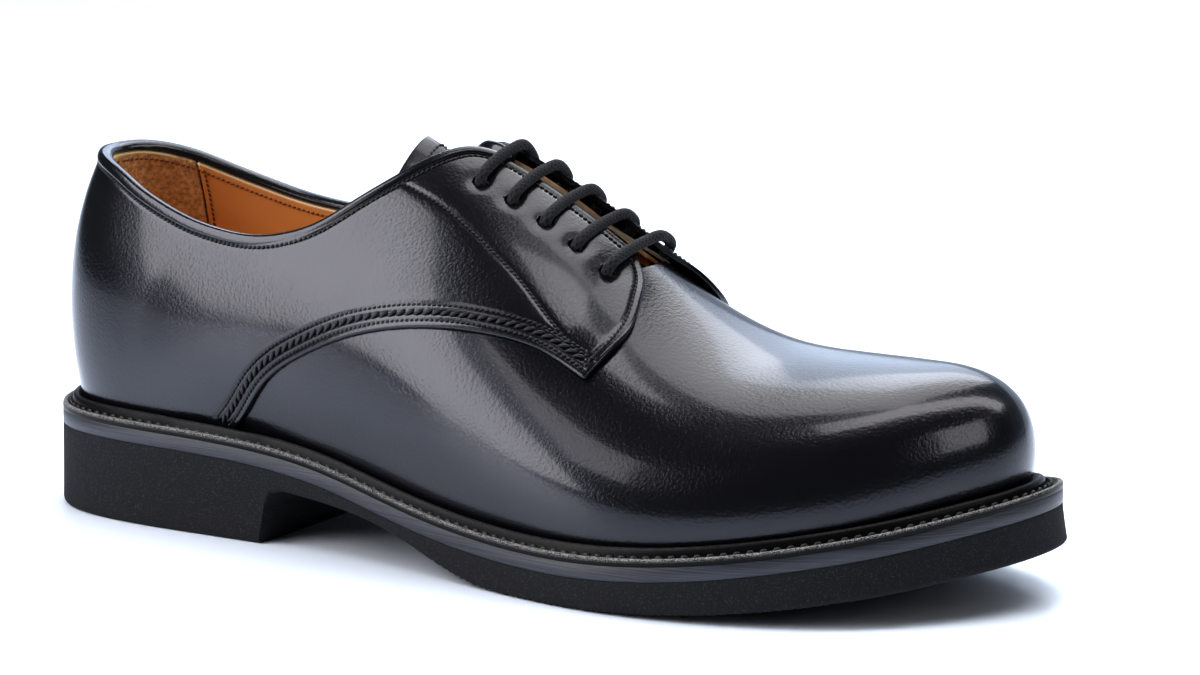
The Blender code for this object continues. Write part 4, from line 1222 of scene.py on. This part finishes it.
def loop_frames(steps):
    """Evenly spaced places round the sole's edge: point, outward direction, welt width and station."""
    share = (np.arange(steps) + 0.5) / steps * 2
    side = np.where(share < 1, LATERAL, MEDIAL)
    share = np.where(share < 1, share, 2 - share)
    arc = np.where(side == LATERAL, raw_arc(LATERAL, share), raw_arc(MEDIAL, share))
    width = np.where(side == LATERAL, side_shape(LATERAL, share)[0], side_shape(MEDIAL, share)[0])
    reach = 24
    blur = np.exp(-(np.arange(-reach, reach + 1) / 10) ** 2)
    blur /= blur.sum()
    width = np.convolve(np.concatenate([width[-reach:], width, width[:reach]]), blur, "valid")
    return OUTLINE.at(arc), OUTLINE.outward(arc), width, share


def loop_piece(name, profile, material, frames):
    """A closed band round the sole. profile is a list of (inset, height above the welt's top face)."""
    edge, outward = frames[:2]
    rings = []
    for inset, height in profile:
        xy = edge - outward * np.broadcast_to(inset, len(edge))[:, None]
        z = welt_top(xy[:, 0]) + height
        rings.append(np.concatenate([xy, z[:, None]], 1))
    return sweep_piece(name, np.stack(rings, 1), material, closed=True)


def seam_swell(share):
    return 1.0 * MM * ease(.185, .225, share) * (1 - ease(.275, .31, share))


WELT_ROW = (3.5 * MM, 2.5 * MM, .50 * MM, 9, .80 * MM)
WELT_REACH = 8 * MM                      # how far the welt goes in under the upper
MIDSOLE_REACH = 14 * MM
# The welt's section, in mm, as (inset, height): its rim from the sole's edge, its bead from the upper's foot.
WELT_RIM = [(0, -2.0), (-.02, -1.2), (.03, -.62), (.22, -.22), (.55, -.02), (1.0, .06), (1.35, -.02),
            (1.60, -.30), (1.82, -.62)]
WELT_BEAD = [(-3.9, -.62), (-3.75, -.3), (-3.65, .8), (-3.4, 1.65), (-2.95, 2.2), (-2.4, 2.4), (-1.9, 2.2),
             (-1.5, 1.5), (-.9, .3), (-.4, -.2)]


def welt_piece(frames, bead, leather):
    """Welt with a wheeled rim, a groove and a raised bead."""
    width = frames[2]
    rows = [(0 * width + inset * MM, height * MM) for inset, height in WELT_RIM]
    rows += [(bead + inset * MM, height * MM) for inset, height in WELT_BEAD]
    rows += [(width + WELT_REACH, 0 * MM), (width + WELT_REACH, -2.0 * MM)]
    piece = loop_piece("welt_leather", rows, leather, frames)
    # Paleness by row of the section: rubbed fibres on the rim's top, and a faint painted highlight along the
    # bead's top (rows 13 and 14).
    rubbed_rim_and_bead_highlight = np.zeros(len(rows))
    rubbed_rim_and_bead_highlight[2:8] = (.3, .8, 1, 1, .8, .3)
    rubbed_rim_and_bead_highlight[13:15] = (.10, .12)
    set_value(piece, "rim", np.tile(rubbed_rim_and_bead_highlight, LOOP_STEPS))
    across_the_ball(piece, "welt")


def midsole_piece(frames, leather):
    """The midsole's trimmed edge, between the welt and the outsole."""
    low, high = MIDSOLE
    middle = (low + high) / 2
    rows = [(MIDSOLE_REACH, high), (.8 * MM, high), (.10 * MM, high - .02 * MM), (.02 * MM, high - .12 * MM),
            (-.05 * MM, middle), (.0 * MM, low + .15 * MM), (.15 * MM, low + .02 * MM), (.9 * MM, low),
            (MIDSOLE_REACH, low)]
    midsole = loop_piece("midsole_edge", rows, leather, frames)
    across_the_ball(midsole, "midsole")


def welt_sewing_piece(frames, bead, thread):
    """Lockstitches along the welt's groove."""
    edge, outward = frames[:2]
    inset = (1.75 * MM + bead - 3.85 * MM) / 2
    xy = edge - outward * inset[:, None]
    line = np.concatenate([xy, (welt_top(xy[:, 0]) - .08 * MM)[:, None]], 1)
    line = np.concatenate([line, line[:1]])
    up = np.zeros_like(line)
    up[:, 2] = 1
    sewing = sewing_piece("welt_sewing", [([(line, up)], WELT_ROW)], thread)
    across_the_ball(sewing, "welt_thread")


def welt_pieces(leather, edge_leather, thread):
    frames = loop_frames(LOOP_STEPS)
    bead = frames[2] - seam_swell(frames[3])
    welt_piece(frames, bead, leather)
    midsole_piece(frames, edge_leather)
    welt_sewing_piece(frames, bead, thread)


BEND_CUTS = np.arange(.040, .108, .004)


def bending_copy(node, name, material):
    """A copy of a flat CAD piece with enough rows to bend at the ball."""
    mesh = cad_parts[node].data.copy()
    mesh.materials.clear()
    mesh.materials.append(material)
    shape = bmesh.new()
    shape.from_mesh(mesh)
    for x in BEND_CUTS:
        everything = shape.verts[:] + shape.edges[:] + shape.faces[:]
        bmesh.ops.bisect_plane(shape, geom=everything, plane_co=(x, 0, 0), plane_no=(1, 0, 0))
    shape.to_mesh(mesh)
    shape.free()
    piece = add_object(name, mesh)
    across_the_ball(piece, node)


# ---------------------------------------------------------------- materials

class Graph:
    """A material's nodes, with short calls for the few kinds used here."""

    def __init__(self, name, colour, roughness):
        self.material = bpy.data.materials.new(name)
        self.material.use_nodes = True
        self.nodes = self.material.node_tree.nodes
        self.links = self.material.node_tree.links
        self.shader = self.nodes["Principled BSDF"]
        self.set("Base Color", (*colour, 1))
        self.set("Roughness", roughness)
        self.material.diffuse_color = (*colour, 1)
        self.place = self.nodes.new("ShaderNodeTexCoord").outputs["Object"]

    def set(self, socket, value):
        self.shader.inputs[socket].default_value = value

    def link(self, source, target):
        self.links.new(source, target)

    def feed(self, socket, source):
        self.link(source, self.shader.inputs[socket])

    def noise(self, scale, detail=2.0, stretch=None):
        node = self.nodes.new("ShaderNodeTexNoise")
        node.inputs["Scale"].default_value = scale
        node.inputs["Detail"].default_value = detail
        self.link(self.stretched(stretch), node.inputs["Vector"])
        return node.outputs["Fac"]

    def stretched(self, stretch):
        if stretch is None:
            return self.place
        node = self.nodes.new("ShaderNodeMapping")
        node.inputs["Scale"].default_value = stretch
        self.link(self.place, node.inputs["Vector"])
        return node.outputs["Vector"]

    def value(self, name):
        node = self.nodes.new("ShaderNodeAttribute")
        node.attribute_name = name
        return node.outputs["Fac"]

    def math(self, operation, a, b):
        node = self.nodes.new("ShaderNodeMath")
        node.operation = operation
        for socket, source in zip(node.inputs, (a, b)):
            if isinstance(source, (int, float)):
                socket.default_value = source
            else:
                self.link(source, socket)
        return node.outputs["Value"]

    def spread(self, source, low, high, to_low=0.0, to_high=1.0):
        node = self.nodes.new("ShaderNodeMapRange")
        for name, value in (("From Min", low), ("From Max", high), ("To Min", to_low), ("To Max", to_high)):
            node.inputs[name].default_value = value
        self.link(source, node.inputs["Value"])
        return node.outputs["Result"]

    def colours(self, factor, first, second):
        """Two mixed colours; the first is a colour or another node's output."""
        node = self.nodes.new("ShaderNodeMix")
        node.data_type = "RGBA"
        if isinstance(first, tuple):
            node.inputs["A"].default_value = (*first, 1)
        else:
            self.link(first, node.inputs["A"])
        node.inputs["B"].default_value = (*second, 1)
        self.link(factor, node.inputs["Factor"])
        return node.outputs["Result"]

    def bump(self, height, strength, distance):
        node = self.nodes.new("ShaderNodeBump")
        node.inputs["Strength"].default_value = strength
        node.inputs["Distance"].default_value = distance
        self.link(height, node.inputs["Height"])
        before = self.shader.inputs["Normal"]
        if before.is_linked:
            self.link(before.links[0].from_socket, node.inputs["Normal"])
        self.link(node.outputs["Normal"], before)


def shade(colour, factor):
    return tuple(factor * c for c in colour)


def polished_calf():
    """Black box calf: fine pores and a soft polish over it."""
    g = Graph("black_box_calf_look", (.006, .006, .008), .23)
    g.set("Specular IOR Level", .42)
    g.set("Specular Tint", (.86, .88, 1, 1))
    g.set("Coat Weight", .45)
    g.set("Coat Tint", (.93, .94, 1, 1))
    g.set("Coat Roughness", .10)
    tint = g.colours(g.noise(60, 3), (.005, .005, .007), (.008, .008, .010))
    g.feed("Base Color", tint)
    g.feed("Roughness", g.spread(g.noise(40, 2), .3, .7, .20, .26))
    g.bump(g.noise(1150, 1), .40, .00022)
    g.bump(g.noise(95, 3), .10, .00035)
    return g.material


def tan_lining():
    """Smooth tan lining calf with a pale raw edge."""
    g = Graph("tan_lining_look", (.78, .40, .13), .48)
    g.set("Specular IOR Level", .35)
    patches = g.colours(g.noise(45, 4), (.74, .36, .110), (.84, .43, .150))
    pale = g.colours(g.spread(g.value("raw_edge"), .35, .8), patches, (.84, .62, .38))
    g.feed("Base Color", pale)
    g.bump(g.noise(800, 5), .25, .00015)
    return g.material


def tan_suede():
    """Rough suede of the heel grip: mottled nap with a soft sheen."""
    g = Graph("tan_suede_look", (.645, .367, .180), .95)
    g.set("Specular IOR Level", .15)
    g.set("Sheen Weight", .5)
    g.set("Sheen Roughness", .6)
    g.set("Sheen Tint", (.9, .75, .55, 1))
    mottled = g.colours(g.spread(g.noise(700, 6), .36, .64), (.495, .277, .128), (.900, .615, .323))
    pale = g.colours(g.spread(g.value("raw_edge"), .35, .8), mottled, (.900, .750, .420))
    g.feed("Base Color", pale)
    g.bump(g.noise(1600, 6), .7, .0005)
    return g.material


def welt_look():
    """Black welt leather; its wheeled rim is rubbed pale and fibrous, and a faint painted highlight lies
    along the bead's top.
    """
    g = Graph("welt_look", (.006, .006, .007), .40)
    g.set("Specular IOR Level", .15)
    fibres = g.spread(g.noise(3300, 3), .42, .58)
    # The rim value holds rubbed fibres on the rim and a faint painted highlight along the bead's top.
    rubbed_rim_and_bead_highlight = g.math("MULTIPLY", g.value("rim"), fibres)
    g.feed("Base Color", g.colours(rubbed_rim_and_bead_highlight, (.006, .006, .007), (.50, .495, .49)))
    g.feed("Roughness", g.spread(rubbed_rim_and_bead_highlight, 0, 1, .32, .9))
    g.bump(g.noise(2200, 3), .5, .00015)
    return g.material


def midsole_look():
    """Trimmed and waxed edge of the midsole, with fine lengthwise scratches."""
    g = Graph("midsole_edge_look", (.030, .031, .037), .38)
    scratches = g.noise(200, 5, stretch=(.15, .15, 24))
    g.feed("Base Color", g.colours(g.spread(scratches, .35, .65), (.016, .017, .023), (.060, .063, .083)))
    g.feed("Roughness", g.spread(scratches, .3, .7, .30, .52))
    g.bump(scratches, .35, .0003)
    return g.material


def rubber_look():
    """Matte charcoal rubber with pale and dark specks."""
    g = Graph("charcoal_rubber_look", (.014, .014, .018), .85)
    g.set("Specular IOR Level", .35)
    specks = g.spread(g.noise(2300, 3), .56, .70)
    g.feed("Base Color", g.colours(specks, (.012, .012, .0155), (.042, .042, .049)))
    g.bump(g.noise(1300, 4), .4, .00025)
    return g.material


def woven_cotton():
    """Waxed black cotton of the braided lace, with pale fluff on its strands and painted shade in the gaps
    between them.
    """
    g = Graph("woven_lace_look", (.020, .020, .022), .80)
    g.set("Specular IOR Level", .25)
    g.set("Sheen Weight", .30)
    g.set("Sheen Roughness", .45)
    g.set("Sheen Tint", (.5, .5, .55, 1))
    # Painted shade: darker where the weave is low, in the gaps between the strands.
    strands_with_painted_gap_shade = g.colours(g.spread(g.value("weave"), -.2, 1), (.007, .007, .008), (.040, .040, .044))
    fluff = g.spread(g.noise(3800, 2), .60, .74)
    g.feed("Base Color", g.colours(fluff, strands_with_painted_gap_shade, (.13, .13, .14)))
    g.bump(g.noise(3800, 2), .6, .0002)
    return g.material


def thread_look(name, colour):
    g = Graph(name, colour, .38)
    g.feed("Base Color", g.colours(g.noise(3000, 2), shade(colour, .7), shade(colour, 1.5)))
    g.bump(g.noise(5000, 2, stretch=(1, 1, 3)), .4, .0001)
    return g.material


def plain_look(name, colour, roughness, metallic=0.0, scale=500.0):
    """A quiet surface with a slight grain, for what is seldom seen."""
    g = Graph(name, colour, roughness)
    g.set("Metallic", metallic)
    g.feed("Base Color", g.colours(g.noise(scale, 4), shade(colour, .75), shade(colour, 1.2)))
    g.bump(g.noise(scale * 2, 4), .3, .0002)
    return g.material


# ---------------------------------------------------------------- camera, lights and floor

# The camera's place and angles were fitted to the photo by least squares.
CAMERA_PLACE = (.63718, -1.03284, .29226)
CAMERA_AZIMUTH = 30.73
CAMERA_ELEVATION = 10.90
CAMERA_LENS = 135


def camera():
    """A long lens that looks at the shoe from its lateral front, slightly above it."""
    data = bpy.data.cameras.new("camera")
    data.lens = CAMERA_LENS
    data.sensor_width = 36
    data.clip_end = 20
    item = add_object("camera", data)
    azimuth = math.radians(CAMERA_AZIMUTH)
    elevation = math.radians(CAMERA_ELEVATION)
    back = Vector((math.sin(azimuth) * math.cos(elevation), -math.cos(azimuth) * math.cos(elevation),
                   math.sin(elevation)))
    right = Vector((0, 0, 1)).cross(back).normalized()
    turn = Matrix((right, back.cross(right), back)).transposed().to_4x4()
    item.matrix_world = Matrix.Translation(CAMERA_PLACE) @ turn
    bpy.context.scene.camera = item


def softbox(name, place, aim, size, radiance, colour, roll=0):
    """A lit panel that faces the aim. A positive roll leans its top to the left, seen from the shoe."""
    data = bpy.data.lights.new(name, "AREA")
    data.shape = "RECTANGLE"
    data.size, data.size_y = size
    data.energy = radiance * math.pi * size[0] * size[1]
    data.color = colour
    item = add_object(name, data)
    item.location = place
    back = (Vector(place) - Vector(aim)).to_track_quat("Z", "Y")
    item.rotation_euler = (back @ Quaternion((0, 0, 1), math.radians(roll))).to_euler()
    return item


FLOOR_FRONT = -4.0
FLOOR_BEND = 1.6                         # where the sweep starts to turn up
BEND_RADIUS = 1.2
WALL_TOP = 4.0
FLOOR_HALF_WIDTH = 5.0


def stage():
    """A white sweep that is faintly glossy."""
    g = Graph("floor_look", (.80, .85, .92), .20)
    g.set("Specular IOR Level", .35)
    g.feed("Roughness", g.spread(g.noise(1.5, 2), .3, .7, .20, .30))
    steps = [(FLOOR_FRONT, 0), (FLOOR_BEND, 0)]
    for a in np.linspace(.1, math.pi / 2, 14):
        steps.append((FLOOR_BEND + BEND_RADIUS * math.sin(a), BEND_RADIUS * (1 - math.cos(a))))
    steps.append((FLOOR_BEND + BEND_RADIUS, WALL_TOP))
    points = [(x, y, z) for y, z in steps for x in (-FLOOR_HALF_WIDTH, FLOOR_HALF_WIDTH)]
    faces = [[2 * i, 2 * i + 1, 2 * i + 3, 2 * i + 2] for i in range(len(steps) - 1)]
    mesh = bpy.data.meshes.new("floor")
    mesh.from_pydata(points, [], faces)
    mesh.shade_smooth()
    mesh.materials.append(g.material)
    floor = add_object("floor", mesh)
    floor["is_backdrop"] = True
    return floor


def room():
    """A pale, dim room around the sweep."""
    world = bpy.data.worlds.new("room")
    world.use_nodes = True
    background = world.node_tree.nodes["Background"]
    background.inputs["Color"].default_value = (.90, .94, 1.0, 1)
    background.inputs["Strength"].default_value = .05
    bpy.context.scene.world = world


def lights(floor):
    """Panels around the shoe, and a wash that falls on the floor alone and turns it white.

    Several panels' places, sizes and strengths began as results of a fit to the photo's brightness.
    """
    middle = (0, 0, .06)
    wash = softbox("floor_wash", (0, .4, 2.4), (0, .4, 0), (3.0, 3.0), 1.8, (.84, .91, 1))
    wash.light_linking.receiver_collection = bpy.data.collections.new("floor_only")
    wash.light_linking.receiver_collection.objects.link(floor)
    softbox("tall_window", (-.90, -.84, .84), middle, (.68, 1.95), 4.6, (1, .975, .985), roll=22)
    softbox("front_fill", (-.26, -.86, .69), middle, (.22, .45), 2.6, (1, .97, .98))
    softbox("overhead", (-.11, .55, .92), (-.08, .24, 0), (.50, .85), 2.7, (1, .98, .95))
    softbox("toe_strip", (.24, .09, .53), middle, (.13, .62), 4.2, (1, .97, .94), roll=16)
    softbox("low_back", (-.57, 1.21, 1.00), middle, (.88, 1.17), 1.7, (.74, .85, 1), roll=39)
    softbox("heel_strip", (-1.05, 1.15, 1.16), middle, (.11, .50), 5.0, (.72, .84, 1))
    softbox("toe_window", (1.32, -.15, .80), middle, (.32, .75), 2.8, (1, .96, .93), roll=-6)


# ---------------------------------------------------------------- the whole shoe

def build_upper(calf, lining, suede, thread, tan_thread):
    vamp_piece(calf)
    vamp_lining_piece(lining)
    for side, word in ((LATERAL, "lateral"), (MEDIAL, "medial")):
        quarter_piece(word, side, calf)
        quarter_sewing(word, side, thread)
        lining_piece(word, side, lining)
    heel_grip_piece(suede)
    back_strip_piece(calf, thread)
    binding_piece(calf)
    lining_sewing(tan_thread)
    tongue_piece("tongue_leather", "tongue", 0, calf)
    tongue_piece("tongue_lining_leather", "tongue_lining", TONGUE_THICKNESS + GAP, lining)
    tongue_sewing(thread)


def build_bottom(lining):
    outsole_piece(rubber_look())
    welt_pieces(welt_look(), midsole_look(), thread_look("welt_thread_look", (.045, .044, .043)))
    board = plain_look("insole_leather_look", (.52, .36, .21), .75)
    bending_copy("sock_liner", "sock_liner_leather", lining)
    bending_copy("insole", "insole_board", board)
    canvas = plain_look("rib_canvas_look", (.60, .56, .46), .9)
    bending_copy("insole_rib", "insole_rib_canvas", canvas)
    cork = plain_look("cork_look", (.40, .25, .12), .95, scale=350)
    bending_copy("cork_filler", "cork_filler_pad", cork)


def paint_inner_nodes():
    stiff = plain_look("stiffener_look", (.58, .50, .38), .85)
    for name in ("facing_stay_lateral", "facing_stay_medial", "heel_counter", "toe_puff"):
        paint_node(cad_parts[name], stiff)
    paint_node(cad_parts["shank"], plain_look("shank_steel_look", (.50, .50, .52), .35, metallic=1.0))


def develop():
    """Plain colours with a little more contrast, as in a studio print."""
    view = bpy.context.scene.view_settings
    view.view_transform = "Standard"
    view.exposure = .50
    view.gamma = .80


def main():
    develop()
    camera()
    floor = stage()
    room()
    lights(floor)
    cotton = woven_cotton()
    plastic = plain_look("aglet_look", (.014, .014, .015), .28, scale=900)
    free_end_pieces("lateral", LATERAL_END, cotton, plastic)
    free_end_pieces("medial", MEDIAL_END, cotton, plastic)
    held_lace_piece(cotton)
    calf = polished_calf()
    lining = tan_lining()
    thread = thread_look("black_thread_look", (.022, .022, .024))
    build_upper(calf, lining, tan_suede(), thread, thread_look("tan_thread_look", (.20, .085, .025)))
    build_bottom(lining)
    paint_inner_nodes()
    boxes = {"cad": cad_box, "visual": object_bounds()}
    boxes = {name: [list(corner) for corner in box] for name, box in boxes.items()}


main()
